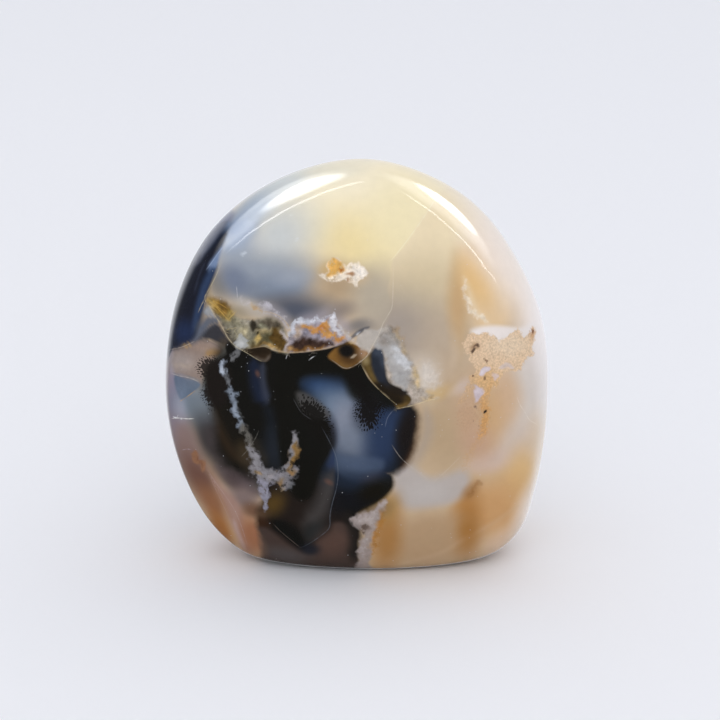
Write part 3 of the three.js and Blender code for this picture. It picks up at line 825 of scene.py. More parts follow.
# Dark pits in the sand and below it
pitShapes = {
    "pit one": blot("#4b3222", (475.7, 346.4), (3.2, 1.6), -35, 0.9, 0.5),
    "pit two": blot("#4b3222", (472.6, 351.3), (2.2, 1.6), 0, 0.9, 0.5),
    "pit three": blot("#6a4a30", (485.5, 360.7), (1.6, 1.5), 0, 0.9, 0.6),
    "pit four": blot("#5a3d28", (474.4, 375.4), (1.4, 1.3), 0, 0.9, 0.6),
    "pit five": blot("#5a3d28", (485.5, 377.7), (1.4, 1.3), 0, 0.9, 0.6),
    "pit six": blot("#6b3f22", (532.4, 333), (1.3, 2.0), 0, 0.9, 0.6),
    "pit seven": blot("#16120e", (484.2, 413.4), (1.9, 1.5), 0, 1.0, 0.5),
    "pit eight": blot("#6a5046", (476, 407), (1.4, 1.6), 0, 0.8, 0.6),
    "pit nine": blot("#7a5c44", (473.5, 421), (1.2, 1.1), 0, 0.8, 0.6),
    "pit ten": blot("#7a5c44", (479, 425), (1.1, 1.0), 0, 0.8, 0.6),
    "pit eleven": blot("#8a6a4a", (491, 419), (1.1, 1.0), 0, 0.8, 0.6),
}

# Dendrites: fans of fine black needles, each spreading from its root. seam is a way, in degrees, in which
# it has none, needles is how many there are all round, and rows is how often they branch on the way out.
fans = {
    "right fan": {
        "tone": "#14110f", "strength": 0.95, "root": (371, 398), "seam": -45,
        "needles": 86, "rows": 6.5, "soft": 17,
        "spread": [(342, 372), (345, 384), (351, 396), (349, 408), (351, 418), (356, 428), (364, 435),
                   (373, 436), (381, 429), (386, 418), (394, 404), (378, 388), (358, 364)],
    },
    "left fan": {
        "tone": "#14120f", "strength": 0.93, "root": (306, 425), "seam": 160,
        "needles": 80, "rows": 6, "soft": 15,
        "spread": [(300, 392), (310, 394), (319, 398), (327, 404), (332, 410), (334, 418), (337, 426),
                   (336, 434), (331, 444), (320, 448), (306, 436), (294, 412)],
    },
    "moss": {
        "tone": "#1d1815", "strength": 0.92, "root": (228, 380), "seam": 0,
        "needles": 120, "rows": 9, "soft": 12,
        "spread": [(218, 354), (207, 353), (198, 357), (193, 366), (196, 376), (201, 383), (198, 389),
                   (198, 397), (203, 405), (209, 412), (220, 412), (232, 404), (236, 376), (228, 356)],
    },
}

# Healed fractures and scratches, and one painted highlight line: thin lines, each with its tone, its
# strength and its points
cracks = {
    "window right": ("#f5ecd0", 0.5, [
        (442.4, 186.5), (436.8, 196.3), (425.6, 214.5), (415.8, 228.6), (404.5, 244), (391.9, 259.4),
        (387.7, 262.2)]),
    "window low right": ("#e6dcc6", 0.28, [
        (394, 260.8), (393.3, 276), (392.3, 305), (388.6, 314), (383.2, 323.2), (380.5, 330.5),
        (376, 339.5), (371.4, 347.7), (366.8, 356), (360.5, 361.8), (354, 366), (348.6, 368),
        (343, 367.7), (336, 363), (327.7, 357)]),
    "window left": ("#cdbf9b", 0.45, [
        (222, 262), (214, 280), (207.4, 292), (204.5, 299.1), (209.5, 306.8), (214.5, 315),
        (219.5, 322.3), (224, 330.5), (227.3, 336.8), (232.3, 343.2), (237.7, 347.7), (245.9, 352.3),
        (253.2, 356.8), (258.6, 360), (262.7, 361.4), (267, 361.4)]),
    "rim spur": ("#c5b894", 0.6, [(204.5, 298.7), (201, 306), (198.3, 312)]),
    "window low": ("#b9a079", 0.42, [
        (244, 348.6), (249.5, 348.6), (256.8, 347.3), (264, 346.4), (267.7, 347.7), (274, 350),
        (281.4, 351.8), (289.5, 352.7), (304, 351.8), (319.5, 349.5), (330.5, 347.3), (339.5, 345),
        (347.7, 341.4)]),
    "slab left": ("#c9b98c", 0.3, [
        (360, 362), (365, 371.7), (371, 381), (379.4, 390), (389, 398.5), (398.5, 406)]),
    "slab low": ("#e0cda0", 0.45, [
        (394, 409.5), (398, 408.5), (406, 407), (414, 405), (422, 402.5), (429, 400), (439, 399)]),
    "cut": ("#6d747e", 0.35, [
        (321, 426), (328.7, 440), (335, 453.7), (337.5, 465), (338, 477.5), (336, 490), (332.5, 502.5),
        (330, 515), (329.7, 526), (325, 532.5), (311, 542.5), (300.6, 548)]),
    "cut low": ("#7a6c64", 0.3, [(301, 548.3), (282.5, 533), (273.3, 523.8)]),
    "cut high": ("#6a6a6c", 0.22, [(293, 398), (301, 412), (312, 420)]),
    "eye hair": ("#8d96ab", 0.25, [(393.6, 409.6), (387.4, 418), (385.2, 427.2)]),
    "ring hair": ("#c6bdb2", 0.28, [
        (391.3, 444), (401, 458), (413.5, 468.6), (425.7, 477.8), (433.4, 482.4)]),
    "cloud hair": ("#d2c6b8", 0.2, [(433.4, 482.4), (447, 470), (461, 456)]),
    "right hair": ("#ece2d6", 0.35, [
        (516.8, 396.4), (520.4, 405.4), (524.8, 411.6), (529.3, 419.6), (538, 425)]),
    "plate top": ("#c0b2a4", 0.4, [(168, 350), (182, 347), (195, 341)]),
    "plate low": ("#c2b7ae", 0.45, [(170, 373), (180, 376), (190, 378), (199, 382)]),
    "wedge low": ("#c09a62", 0.6, [(196, 390), (188, 396), (179, 402)]),
    # painted highlight: a thin bright line that runs on from the glint on the left
    "glint left": ("#f2efe8", 0.7, [(171, 418.5), (179, 418), (187, 418.8), (194, 418.6)]),
    "pale left": ("#b9aeb5", 0.4, [(182, 450), (187, 449), (191, 449.6)]),
    "rim blue line": ("#9fb0cb", 0.6, [(206, 270), (212, 262), (219, 252), (225, 245)]),
    "band spike": ("#c9c6c6", 0.5, [(236.5, 286), (237, 292), (237.5, 299)]),
    "scratch one": ("#d8d8d8", 0.7, [(309.5, 359.5), (312, 357.6), (314.8, 356)]),
    "scratch two": ("#8d8a82", 0.3, [(241, 457), (247.5, 450), (255, 439), (259, 430)]),
    "scratch four": ("#c9c9c9", 0.5, [(287, 355), (286, 359)]),
    "crumb line": ("#a08a68", 0.4, [(466, 492), (471, 488), (476, 483)]),
    "arch gold": ("#c6a46c", 0.45, [
        (262, 311.5), (270, 312.5), (278, 315.5), (285, 321), (289, 327), (291, 333)]),
    "lens thread": ("#c0aa78", 0.4, [(225.5, 330.5), (231, 328.5), (237, 327.5)]),
    "lens thread two": ("#b4a67e", 0.35, [(230.5, 327.5), (235, 332), (239, 338)]),
    "strand": ("#d0a857", 0.5, [(208, 301), (215, 306), (222, 313), (228, 320)]),
    "strand two": ("#c79a4a", 0.45, [(211, 300), (220, 304), (228, 309)]),
    "strand three": ("#cfae62", 0.45, [(228, 320), (232, 315.5), (236.5, 311)]),
    "left wedge line": ("#b59c97", 0.35, [
        (207, 468), (214, 480), (224, 494), (234, 509), (241, 525), (248, 547)]),
    "left wedge line two": ("#a98d84", 0.3, [(206, 468), (216, 490), (226, 511), (234, 530), (240, 546)]),
}


# The signed and the plain distance to the nearest fracture in mm, its tone and its strength
def crackField(spots):
    near = np.full(len(spots), drawing["far"])
    side = np.full(len(spots), drawing["far"])
    tone = np.ones((len(spots), 3))
    strength = np.zeros(len(spots))
    for hexCode, force, points in cracks.values():
        line = roundedLine(points, False)
        where = np.flatnonzero(closeTo(spots, line, drawing["far"]))
        far, across, along = measureLine(spots[where], line)
        nearer = far < near[where]
        where = where[nearer]
        near[where] = far[nearer]
        side[where] = across[nearer]
        tone[where] = screenTone(hexCode)
        ends = smoothStep(0, drawing["crackFade"], np.minimum(along, 1 - along))
        strength[where] = force * ends[nearer] ** 0.5
    return side / view["pixelsPerMm"], near / view["pixelsPerMm"], tone, strength


# How thick the fans grow, a space whose cells are needles that run out from each fan's root, and their tone
def fanField(spots):
    limit = drawing["fanLimit"]
    thick = np.full(len(spots), -limit)
    space = np.zeros((len(spots), 3))
    tone = np.zeros((len(spots), 3))
    strength = np.zeros(len(spots))
    nearest = np.full(len(spots), np.inf)
    for number, fan in enumerate(fans.values()):
        edge = edgeOf(spots, patch("", fan["spread"], fan["soft"]))
        thick = np.maximum(thick, -edge)
        gap = spots - np.array(fan["root"])
        turn = (np.arctan2(gap[:, 1], gap[:, 0]) - math.radians(fan["seam"])) % (2 * math.pi)
        here = edge < nearest
        nearest[here] = edge[here]
        space[here, 0] = (turn / (2 * math.pi) * fan["needles"])[here] + drawing["fanApart"] * number
        space[here, 1] = np.log(np.maximum(np.hypot(*gap.T), 1))[here] * fan["rows"]
        tone[here] = screenTone(fan["tone"])
        strength[here] = fan["strength"]
    return np.clip(thick, -limit, limit), space, tone, strength


# Everything that the material reads, worked out for spots of the picture and their depth in mm.
# Depth is the stone's Y: crisp markings belong to the front, and clouds run on through the stone.
def stoneMarkings(spots, depth):
    limit = drawing["edgeLimit"]
    through = smoothStep(*drawing["bend"], depth)
    reach, length, start = ripples["back"]
    spots = rippled(spots, reach * through, length, start)
    clouds = rippled(spots, *ripples["cloud"])
    rough = rippled(rippled(spots, *ripples["edge"]), *ripples["fineEdge"])
    uneven = (rippled(spots, *ripples["rim"]) - spots)[:, 1]
    # added to an edge, this shrinks the crisp markings until the sides and the back have none
    hidden = 2 * limit * smoothStep(*drawing["fade"], depth + drawing["fadeRipple"] * uneven)

    body = tinted(clouds, np.tile(screenTone(bodyBase), (len(spots), 1)), bodyTints)
    fields = {"bodyTone": (body, np.ones(len(spots)))}
    edge, tone, strength = layered(spots, darkShapes, clouds, darkTints)
    fields["darkTone"] = (tone, strength)
    fields["darkEdge"] = edge / (1 + drawing["backSoft"] * through)
    families = {"crust": (crustShapes, crustTints), "plate": (plateShapes, plateTints),
                "chip": (chipShapes, chipTints), "mineral": (mineralShapes, mineralTints),
                "sand": (sandShapes, sandTints), "pit": (pitShapes, {})}
    for name, (shapes, tints) in families.items():
        shapeSpots = spots if name in ("crust", "plate") else rough
        tintSpots = spots if name == "plate" else rough
        edge, tone, strength = layered(shapeSpots, shapes, tintSpots, tints)
        fields[name + "Tone"] = (tone, strength)
        fields[name + "Edge"] = np.clip(edge + hidden, -limit, limit)
    side, near, tone, strength = crackField(spots)
    fields["crackTone"] = (tone, strength * (hidden < limit))
    fields["crackSide"] = side
    fields["crackNear"] = near
    thick, space, tone, strength = fanField(spots)
    fields["fanTone"] = (tone, strength)
    fields["fanThick"] = np.clip(thick - hidden, -drawing["fanLimit"], drawing["fanLimit"])
    fields["fanSpace"] = space
    return fields


# Stone
stone = {
    "node": "opal_freeform",
    "piece": "polished_opal",
    "weld": 0.01,  # mm: corners closer than this are one
    "smoothings": 2,  # each parts every face in four, to faces of about 0.5 mm
    "fineDepth": -10.3,  # mm: faces in front of this are parted once more, for the fine markings
}


def polishedStone():
    bpy.ops.object.select_all(action="DESELECT")
    piece = bpy.data.objects.new(stone["piece"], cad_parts[stone["node"]].data.copy())
    bpy.context.scene.collection.objects.link(piece)
    piece.data.name = stone["piece"]
    piece.data.materials.clear()
    piece.select_set(True)
    bpy.context.view_layer.objects.active = piece
    bpy.ops.mesh.customdata_custom_splitnormals_clear()
    bpy.ops.object.mode_set(mode="EDIT")
    bpy.ops.mesh.select_all(action="SELECT")
    bpy.ops.mesh.remove_doubles(threshold=stone["weld"] / 1000)
    bpy.ops.mesh.tris_convert_to_quads(face_threshold=math.pi, shape_threshold=math.pi)
    bpy.ops.object.mode_set(mode="OBJECT")
    smoothing = piece.modifiers.new("smoothing", "SUBSURF")
    smoothing.levels = smoothing.render_levels = stone["smoothings"]
    bpy.ops.object.modifier_apply(modifier=smoothing.name)

    # the front is parted once more
    bpy.ops.object.mode_set(mode="EDIT")
    bpy.ops.mesh.select_all(action="DESELECT")
    bpy.ops.object.mode_set(mode="OBJECT")
    front = [face.center.y < stone["fineDepth"] / 1000 for face in piece.data.polygons]
    piece.data.polygons.foreach_set("select", front)
    bpy.ops.object.mode_set(mode="EDIT")
    bpy.ops.mesh.select_mode(type="FACE")
    bpy.ops.mesh.subdivide(number_cuts=1, smoothness=1.0)
    bpy.ops.object.mode_set(mode="OBJECT")
    bpy.ops.object.shade_smooth()
    return piece


# Gives every corner of the mesh the values that the material reads
def markStone(piece):
    mesh = piece.data
    points = np.empty(3 * len(mesh.vertices))
    mesh.vertices.foreach_get("co", points)
    points = 1000 * points.reshape(-1, 3)
    spots = pictureSpots(points, np.array(stoneMiddle))
    for name, values in stoneMarkings(spots, points[:, 1]).items():
        if isinstance(values, tuple):
            tone, strength = values
            layer = mesh.attributes.new(name, "FLOAT_COLOR", "POINT")
            layer.data.foreach_set("color", np.column_stack([toLinear(tone), strength]).ravel())
        elif values.ndim == 2:
            layer = mesh.attributes.new(name, "FLOAT_VECTOR", "POINT")
            layer.data.foreach_set("vector", values.ravel())
        else:
            layer = mesh.attributes.new(name, "FLOAT", "POINT")
            layer.data.foreach_set("value", values)


opalPiece = polishedStone()
print("stone smoothed,", sum(len(face.vertices) - 2 for face in opalPiece.data.polygons), "triangles")
markStone(opalPiece)
print("markings laid on the stone")

# Opal
# Dendritic opal, ground and polished: a glassy skin over milky stone with growths of black oxide inside.
opal = {
    "ior": 1.45,
    "specular": 0.4,
    "roughness": 0.055,
    "scuffs": 0.03,  # how far the roughness wanders
    "drift": 0.10,  # how far the body's brightness wanders
    "relief": 0.12,  # mm
    "sandDip": 0.25,  # how deep the sand's grains are, as a share of the relief
    "noiseGain": 4,  # spreads the noises, which run from about 0.25 to 0.75, over -1 to 1
    "holeNoise": (0.36, 0.48),  # a layer's holes lie where the noise is under these
    "crackWidth": 0.12,  # mm
    "crackEdge": (0.75, 0.2),  # shares of that width where a line begins and is full
    "crackEnd": (0.5, 0.3),  # mm past a line's own end where it is gone and is still full
    "crackNoise": (0.36, 0.56),  # a line is faint where the noise is under these
    "crackFaint": 0.35,  # and this much of it stays there
    "speckGap": 0.85,  # mm between the white specks
    "speckSize": (0.09, 0.03),  # shares of that gap where a speck begins and is full
    "speckChance": (0.5, 1.0),  # a speck shows if its chance is over the first, and is full at the second
    "speckTone": "#c9ccce",
}
# Size in mm, detail and roughness. The grain is a little coarser than the real mineral's, so that it shows.
# wave is what is left of the grinding, in the polish alone.
opalNoises = {
    "cloud": (1.3, 3.0, 0.55),
    "crystal": (0.75, 4.0, 0.6),
    "grain": (0.26, 1.0, 0.5),
    "wave": (9.0, 2.0, 0.4),
}
# The layers from the deepest up. ragged is how far the noise moves an edge, in widths of the soft edge.
# mottle is how much it lightens and darkens the tone, and holes is how much of the layer it takes away.
# A fan's needles fill their cells from sparse, at the fan's edge, to dense, and soft is their own soft edge.
opalLayers = {
    "dark": {"noise": "cloud", "ragged": 0.25, "mottle": 0.05, "holes": 0.0, "roughness": 0.055},
    "crust": {"noise": "crystal", "ragged": 0.4, "mottle": 0.55, "holes": 0.0, "roughness": 0.08},
    "plate": {"noise": "crystal", "ragged": 0.15, "mottle": 0.10, "holes": 0.0, "roughness": 0.055},
    "fan": {"sparse": -0.3, "dense": 0.95, "soft": 0.08},
    "sand": {"noise": "grain", "ragged": 1.0, "mottle": 0.18, "holes": 0.0, "roughness": 0.40},
    "chip": {"noise": "crystal", "ragged": 0.35, "mottle": 0.14, "holes": 0.0, "roughness": 0.055},
    "mineral": {"noise": "crystal", "ragged": 1.0, "mottle": 0.30, "holes": 0.75, "roughness": 0.14},
    "pit": {"noise": "grain", "ragged": 0.2, "mottle": 0.10, "holes": 0.0, "roughness": 0.4},
}


# Adds a node, sets it and fills its inputs with values or with the sockets that they come from
def addNode(tree, kind, settings, inputs):
    node = tree.nodes.new(kind)
    for name, value in settings.items():
        setattr(node, name, value)
    for key, value in inputs.items():
        if isinstance(value, bpy.types.NodeSocket):
            tree.links.new(value, node.inputs[key])
        else:
            node.inputs[key].default_value = value
    return node.outputs


smoothly = {"interpolation_type": "SMOOTHSTEP"}
times = {"operation": "MULTIPLY"}
timesPlus = {"operation": "MULTIPLY_ADD"}
plus = {"operation": "ADD"}
minus = {"operation": "SUBTRACT"}
scaled = {"operation": "SCALE"}
mixed = {"data_type": "RGBA"}


def opalMaterial():
    material = bpy.data.materials.new("dendritic opal, polished")
    material.use_nodes = True
    tree = material.node_tree
    shader = tree.nodes["Principled BSDF"]

    place = addNode(tree, "ShaderNodeTexCoord", {}, {})["Object"]
    millimetres = addNode(tree, "ShaderNodeVectorMath", scaled, {0: place, "Scale": 1000.0})[0]
    noises = {}
    for name, (size, detail, rough) in opalNoises.items():
        inputs = {"Vector": millimetres, "Scale": 1 / size, "Detail": detail, "Roughness": rough}
        colour = addNode(tree, "ShaderNodeTexNoise", {}, inputs)["Color"]
        noises[name] = addNode(tree, "ShaderNodeSeparateColor", {}, {0: colour})
    gain = opal["noiseGain"]

    # milky body with a faint drift of tone
    inputs = {0: noises["cloud"][1], 1: opal["drift"], 2: 1 - opal["drift"] / 2}
    drift = addNode(tree, "ShaderNodeMath", timesPlus, inputs)[0]
    body = addNode(tree, "ShaderNodeAttribute", {"attribute_name": "bodyTone"}, {})["Color"]
    colour = addNode(tree, "ShaderNodeVectorMath", scaled, {0: body, "Scale": drift})[0]
    roughness = opal["roughness"]
    for name, layer in opalLayers.items():
        tone = addNode(tree, "ShaderNodeAttribute", {"attribute_name": name + "Tone"}, {})
        if name == "fan":
            # black growth in needles that crowd together towards the root
            thick = addNode(tree, "ShaderNodeAttribute", {"attribute_name": "fanThick"}, {})["Fac"]
            space = addNode(tree, "ShaderNodeAttribute", {"attribute_name": "fanSpace"}, {})["Vector"]
            inputs = {"Vector": space, "Scale": 1.0}
            gap = addNode(tree, "ShaderNodeTexVoronoi", {"voronoi_dimensions": "2D"}, inputs)["Distance"]
            inputs = {"Value": thick, "From Min": layer["sparse"], "From Max": 1.0,
                      "To Min": layer["sparse"], "To Max": layer["dense"]}
            reach = addNode(tree, "ShaderNodeMapRange", {}, inputs)[0]
            grown = addNode(tree, "ShaderNodeMath", minus, {0: reach, 1: gap})[0]
            inputs = {"Value": grown, "From Min": -layer["soft"], "From Max": layer["soft"],
                      "To Max": tone["Alpha"]}
            cover = addNode(tree, "ShaderNodeMapRange", smoothly, inputs)[0]
            colour = addNode(tree, "ShaderNodeMix", mixed, {0: cover, 6: colour, 7: tone["Color"]})[2]
            continue
        noise = noises[layer["noise"]]
        inputs = {0: noise[0], 1: gain * layer["ragged"], 2: -gain / 2 * layer["ragged"]}
        shift = addNode(tree, "ShaderNodeMath", timesPlus, inputs)[0]
        edge = addNode(tree, "ShaderNodeAttribute", {"attribute_name": name + "Edge"}, {})["Fac"]
        edge = addNode(tree, "ShaderNodeMath", plus, {0: edge, 1: shift})[0]
        inputs = {"Value": edge, "From Min": 1.0, "From Max": -1.0, "To Max": tone["Alpha"]}
        cover = addNode(tree, "ShaderNodeMapRange", smoothly, inputs)[0]
        if layer["holes"]:
            low, high = opal["holeNoise"]
            inputs = {"Value": noise[1], "From Min": low, "From Max": high, "To Min": 1 - layer["holes"]}
            left = addNode(tree, "ShaderNodeMapRange", smoothly, inputs)[0]
            cover = addNode(tree, "ShaderNodeMath", times, {0: cover, 1: left})[0]
        inputs = {0: noise[2], 1: gain * layer["mottle"], 2: 1 - gain / 2 * layer["mottle"]}
        mottle = addNode(tree, "ShaderNodeMath", timesPlus, inputs)[0]
        mottled = addNode(tree, "ShaderNodeVectorMath", scaled, {0: tone["Color"], "Scale": mottle})[0]
        colour = addNode(tree, "ShaderNodeMix", mixed, {0: cover, 6: colour, 7: mottled})[2]
        if layer["roughness"] != opal["roughness"]:
            inputs = {0: cover, 1: layer["roughness"] - opal["roughness"], 2: roughness}
            roughness = addNode(tree, "ShaderNodeMath", timesPlus, inputs)[0]
        if name == "sand":
            relief = addNode(tree, "ShaderNodeMath", times, {0: cover, 1: noise[2]})[0]

    # thin healed fractures
    side = addNode(tree, "ShaderNodeAttribute", {"attribute_name": "crackSide"}, {})["Fac"]
    side = addNode(tree, "ShaderNodeMath", {"operation": "ABSOLUTE"}, {0: side})[0]
    crack = addNode(tree, "ShaderNodeAttribute", {"attribute_name": "crackTone"}, {})
    rim, core = (opal["crackWidth"] * share for share in opal["crackEdge"])
    inputs = {"Value": side, "From Min": rim, "From Max": core, "To Max": crack["Alpha"]}
    line = addNode(tree, "ShaderNodeMapRange", smoothly, inputs)[0]
    near = addNode(tree, "ShaderNodeAttribute", {"attribute_name": "crackNear"}, {})["Fac"]
    gone, full = opal["crackEnd"]
    inputs = {"Value": near, "From Min": gone, "From Max": full, "To Max": line}
    line = addNode(tree, "ShaderNodeMapRange", smoothly, inputs)[0]
    low, high = opal["crackNoise"]
    inputs = {"Value": noises["crystal"][1], "From Min": low, "From Max": high, "To Min": opal["crackFaint"]}
    broken = addNode(tree, "ShaderNodeMapRange", smoothly, inputs)[0]
    line = addNode(tree, "ShaderNodeMath", times, {0: line, 1: broken})[0]
    colour = addNode(tree, "ShaderNodeMix", mixed, {0: line, 6: colour, 7: crack["Color"]})[2]

    # white specks, which show only where the stone is darker than they are
    inputs = {"Vector": millimetres, "Scale": 1 / opal["speckGap"]}
    specks = addNode(tree, "ShaderNodeTexVoronoi", {}, inputs)
    chance = addNode(tree, "ShaderNodeSeparateColor", {}, {0: specks["Color"]})
    low, high = opal["speckChance"]
    inputs = {"Value": chance[0], "From Min": low, "From Max": high}
    bright = addNode(tree, "ShaderNodeMapRange", smoothly, inputs)[0]
    rim, core = opal["speckSize"]
    inputs = {"Value": specks["Distance"], "From Min": rim, "From Max": core, "To Max": bright}
    speck = addNode(tree, "ShaderNodeMapRange", smoothly, inputs)[0]
    inputs = {0: speck, 6: colour, 7: (*toLinear(opal["speckTone"]), 1)}
    colour = addNode(tree, "ShaderNodeMix", {"data_type": "RGBA", "blend_type": "LIGHTEN"}, inputs)[2]

    # the polish: long shallow waves, and a little relief on the sand
    inputs = {0: relief, 1: -opal["sandDip"], 2: noises["wave"][0]}
    height = addNode(tree, "ShaderNodeMath", timesPlus, inputs)[0]
    inputs = {"Height": height, "Distance": opal["relief"] / 1000, "Strength": 1.0}
    bump = addNode(tree, "ShaderNodeBump", {}, inputs)[0]
    inputs = {0: noises["cloud"][2], 1: opal["scuffs"], 2: -opal["scuffs"] / 2}
    scuff = addNode(tree, "ShaderNodeMath", timesPlus, inputs)[0]
    scuff = addNode(tree, "ShaderNodeMath", plus, {0: roughness, 1: scuff})[0]

    tree.links.new(colour, shader.inputs["Base Color"])
    tree.links.new(scuff, shader.inputs["Roughness"])
    tree.links.new(bump, shader.inputs["Normal"])
    shader.inputs["IOR"].default_value = opal["ior"]
    shader.inputs["Specular IOR Level"].default_value = opal["specular"]
    return material


opalPiece.data.materials.append(opalMaterial())
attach(opalPiece, "root")
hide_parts(stone["node"])
print("opal polished")

# Studio
studio = {
    "table": "#f1f1f3",
    "tableSize": 4.0,  # m
    "tableRoughness": 0.9,
    "tableSpecular": 0.1,
    "roomTone": "#f2f4fa",
    "roomLight": 0.98,  # the room's light on the stone
    "mirrorFront": 0.12,  # brightness of the room where the stone mirrors it, in front and to the sides
    "mirrorBack": 1.0,  # and behind
    "backWay": (0.42, 0.88, 0.20),  # the way to the room's brightest part
    "backEdge": (0.30, 0.85),  # cosines to that way where the room begins to brighten and is brightest
    "lowEdge": (-0.75, -0.30),  # how low a way points where the room is dimmest and no longer dimmer
    "lowDim": 0.60,  # brightness there, as a share
    "fillWatts": 2.2,
    "fillPlace": (0.0, -1.0, 0.55),
    "fillSize": (0.9, 0.9),
    "boxGlow": 22.0,  # brightness of the soft boxes at their brightest
    "boxSize": (0.95, 0.70),  # m: long soft boxes, so the shoulder shows them as crescents
    "lensEdge": (1.0, 0.45),  # shares of a lens shape's size where it begins and is full
    "lineEdge": (0.06, 0.015),  # distances from the bright edge where it begins and is full
}
# Each soft box rises towards the middle. Its shares run from -1 to 1, along it towards the middle and
# across it. core and veil are soft lens shapes: middle, turn in degrees, half sizes and brightness. line is
# a thin bright edge on a parabola: along, across and bend at its lowest, half length and brightness.
softBoxes = {
    "left soft box": {
        "place": (-0.43, -0.07, 0.60),
        "rise": 0.85,
        "core": ((0.33, -0.02), -35, (0.56, 0.62), 1.0),
        "veil": ((0.05, 0.25), -20, (0.90, 0.98), 0.27),
        "line": (0.30, -0.84, 0.4, 0.95, 0.55),
    },
    "right soft box": {
        "place": (0.44, -0.07, 0.60),
        "rise": -0.85,
        "core": ((-0.02, 0.38), -10, (0.50, 0.66), 1.0),
        "veil": ((0.05, 0.10), 0, (0.90, 0.95), 0.24),
        "line": (-0.10, -0.93, 0.5, 0.85, 0.55),
    },
}


def addTable():
    bpy.ops.object.select_all(action="DESELECT")
    bpy.ops.mesh.primitive_plane_add(size=studio["tableSize"], location=(0, 0, 0))
    table = bpy.context.object
    table.name = "table_top"
    paper = bpy.data.materials.new("matt paper")
    paper.use_nodes = True
    shader = paper.node_tree.nodes["Principled BSDF"]
    shader.inputs["Base Color"].default_value = (*toLinear(studio["table"]), 1)
    shader.inputs["Roughness"].default_value = studio["tableRoughness"]
    shader.inputs["Specular IOR Level"].default_value = studio["tableSpecular"]
    table.data.materials.append(paper)
    table.visible_glossy = False


# The room lights the stone evenly. In the stone's mirror it is dark in front, to the sides and low down, and
# pale behind.
def addRoom():
    world = bpy.data.worlds.new("studio room")
    bpy.context.scene.world = world
    world.use_nodes = True
    tree = world.node_tree
    way = addNode(tree, "ShaderNodeTexCoord", {}, {})["Generated"]
    axes = addNode(tree, "ShaderNodeSeparateXYZ", {}, {0: way})
    inputs = {0: way, 1: studio["backWay"]}
    behind = addNode(tree, "ShaderNodeVectorMath", {"operation": "DOT_PRODUCT"}, inputs)["Value"]
    low, high = studio["backEdge"]
    inputs = {"Value": behind, "From Min": low, "From Max": high,
              "To Min": studio["mirrorFront"], "To Max": studio["mirrorBack"]}
    mirrored = addNode(tree, "ShaderNodeMapRange", smoothly, inputs)[0]
    low, high = studio["lowEdge"]
    inputs = {"Value": axes["Z"], "From Min": low, "From Max": high, "To Min": studio["lowDim"]}
    dimmed = addNode(tree, "ShaderNodeMapRange", smoothly, inputs)[0]
    mirrored = addNode(tree, "ShaderNodeMath", times, {0: mirrored, 1: dimmed})[0]
    glossy = addNode(tree, "ShaderNodeLightPath", {}, {})["Is Glossy Ray"]
    inputs = {0: glossy, 2: studio["roomLight"], 3: mirrored}
    strength = addNode(tree, "ShaderNodeMix", {"data_type": "FLOAT"}, inputs)[0]
    background = tree.nodes["Background"]
    background.inputs["Color"].default_value = (*toLinear(studio["roomTone"]), 1)
    tree.links.new(strength, background.inputs["Strength"])


# An oblong soft light that looks at the stone, its long side lying along the way that is given
def addLight(name, place, size, watts, along=(1, 0, 0)):
    light = bpy.data.lights.new(name, "AREA")
    light.shape = "RECTANGLE"
    light.size, light.size_y = size
    light.energy = watts
    lamp = bpy.data.objects.new(name, light)
    bpy.context.scene.collection.objects.link(lamp)
    back = (Vector(place) - stoneMiddle / 1000).normalized()
    across = (Vector(along) - back * back.dot(Vector(along))).normalized()
    turn = Matrix((across, back.cross(across), back)).transposed()
    lamp.matrix_world = Matrix.LocRotScale(Vector(place), turn.to_quaternion(), None)
    return lamp


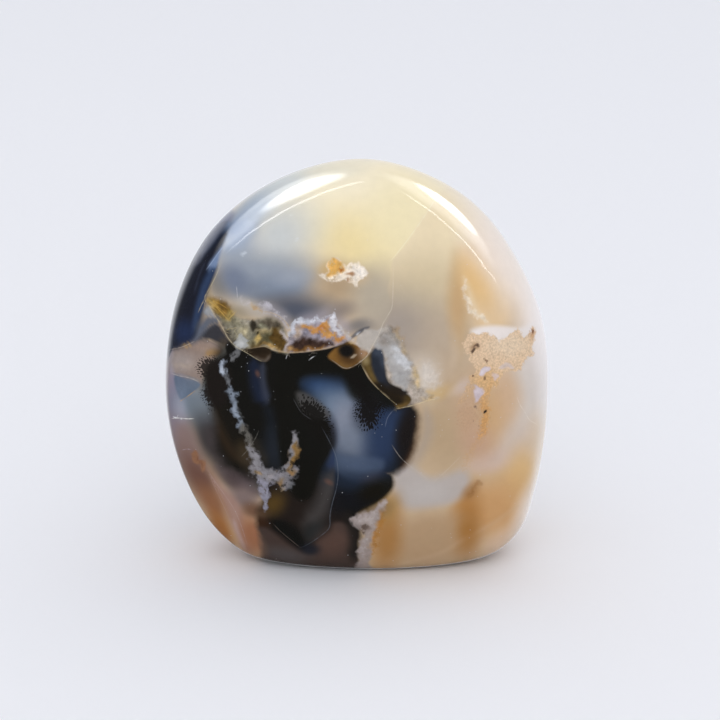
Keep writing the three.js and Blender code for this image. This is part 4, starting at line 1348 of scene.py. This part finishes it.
# Shapes a soft box's glow: a lens, a dim veil around it and a thin bright edge
def shapeGlow(lamp, box):
    lamp.data.use_nodes = True
    tree = lamp.data.node_tree
    place = addNode(tree, "ShaderNodeNewGeometry", {}, {})["Position"]
    half = (math.copysign(studio["boxSize"][0] / 2, box["rise"]), studio["boxSize"][1] / 2, 1)
    lie = lamp.matrix_world
    inputs = {"Vector": place, "Location": lie.translation, "Rotation": lie.to_euler(), "Scale": half}
    shares = addNode(tree, "ShaderNodeMapping", {"vector_type": "TEXTURE"}, inputs)[0]
    strength = 0.0
    for middle, turn, sizes, bright in (box["core"], box["veil"]):
        inputs = {"Vector": shares, "Location": (*middle, 0), "Rotation": (0, 0, math.radians(turn)),
                  "Scale": (*sizes, 1)}
        lens = addNode(tree, "ShaderNodeMapping", {"vector_type": "TEXTURE"}, inputs)[0]
        away = addNode(tree, "ShaderNodeVectorMath", {"operation": "LENGTH"}, {0: lens})["Value"]
        rim, core = studio["lensEdge"]
        inputs = {"Value": away, "From Min": rim, "From Max": core, "To Max": bright}
        glow = addNode(tree, "ShaderNodeMapRange", smoothly, inputs)[0]
        strength = addNode(tree, "ShaderNodeMath", {"operation": "MAXIMUM"}, {0: strength, 1: glow})[0]
    along, across, bend, length, bright = box["line"]
    share = addNode(tree, "ShaderNodeSeparateXYZ", {}, {0: shares})
    gap = addNode(tree, "ShaderNodeMath", minus, {0: share[0], 1: along})[0]
    bow = addNode(tree, "ShaderNodeMath", times, {0: gap, 1: gap})[0]
    off = addNode(tree, "ShaderNodeMath", timesPlus, {0: bow, 1: -bend, 2: share[1]})[0]
    off = addNode(tree, "ShaderNodeMath", minus, {0: off, 1: across})[0]
    off = addNode(tree, "ShaderNodeMath", {"operation": "ABSOLUTE"}, {0: off})[0]
    inputs = {"Value": bow, "From Min": length ** 2, "From Max": (length / 2) ** 2, "To Max": bright}
    ends = addNode(tree, "ShaderNodeMapRange", smoothly, inputs)[0]
    rim, core = studio["lineEdge"]
    inputs = {"Value": off, "From Min": rim, "From Max": core, "To Max": ends}
    edge = addNode(tree, "ShaderNodeMapRange", smoothly, inputs)[0]
    strength = addNode(tree, "ShaderNodeMath", {"operation": "MAXIMUM"}, {0: strength, 1: edge})[0]
    tree.links.new(strength, tree.nodes["Emission"].inputs["Strength"])


def addCamera():
    camera = bpy.data.objects.new("camera", bpy.data.cameras.new("camera"))
    bpy.context.scene.collection.objects.link(camera)
    back = Vector(cameraAxes()[2])
    camera.location = stoneMiddle / 1000 + back * view["distance"] / 1000
    camera.rotation_euler = (-back).to_track_quat("-Z", "Y").to_euler()
    camera.data.sensor_width = view["sensor"]
    camera.data.lens = view["sensor"] * view["pixelsPerMm"] * view["distance"] / view["picture"]
    half = view["picture"] / 2
    camera.data.shift_x = (half - view["stonePixel"][0]) / view["picture"]
    camera.data.shift_y = (view["stonePixel"][1] - half) / view["picture"]
    bpy.context.scene.camera = camera


addTable()
addRoom()
fill = addLight("front fill", studio["fillPlace"], studio["fillSize"], studio["fillWatts"])
fill.visible_glossy = False
for name, box in softBoxes.items():
    watts = studio["boxGlow"] * math.pi * studio["boxSize"][0] * studio["boxSize"][1]
    lamp = addLight(name, box["place"], studio["boxSize"], watts, (1, 0, box["rise"]))
    lamp.visible_diffuse = False
    shapeGlow(lamp, box)
addCamera()
bpy.context.scene.view_settings.view_transform = "Standard"
print("studio lit")
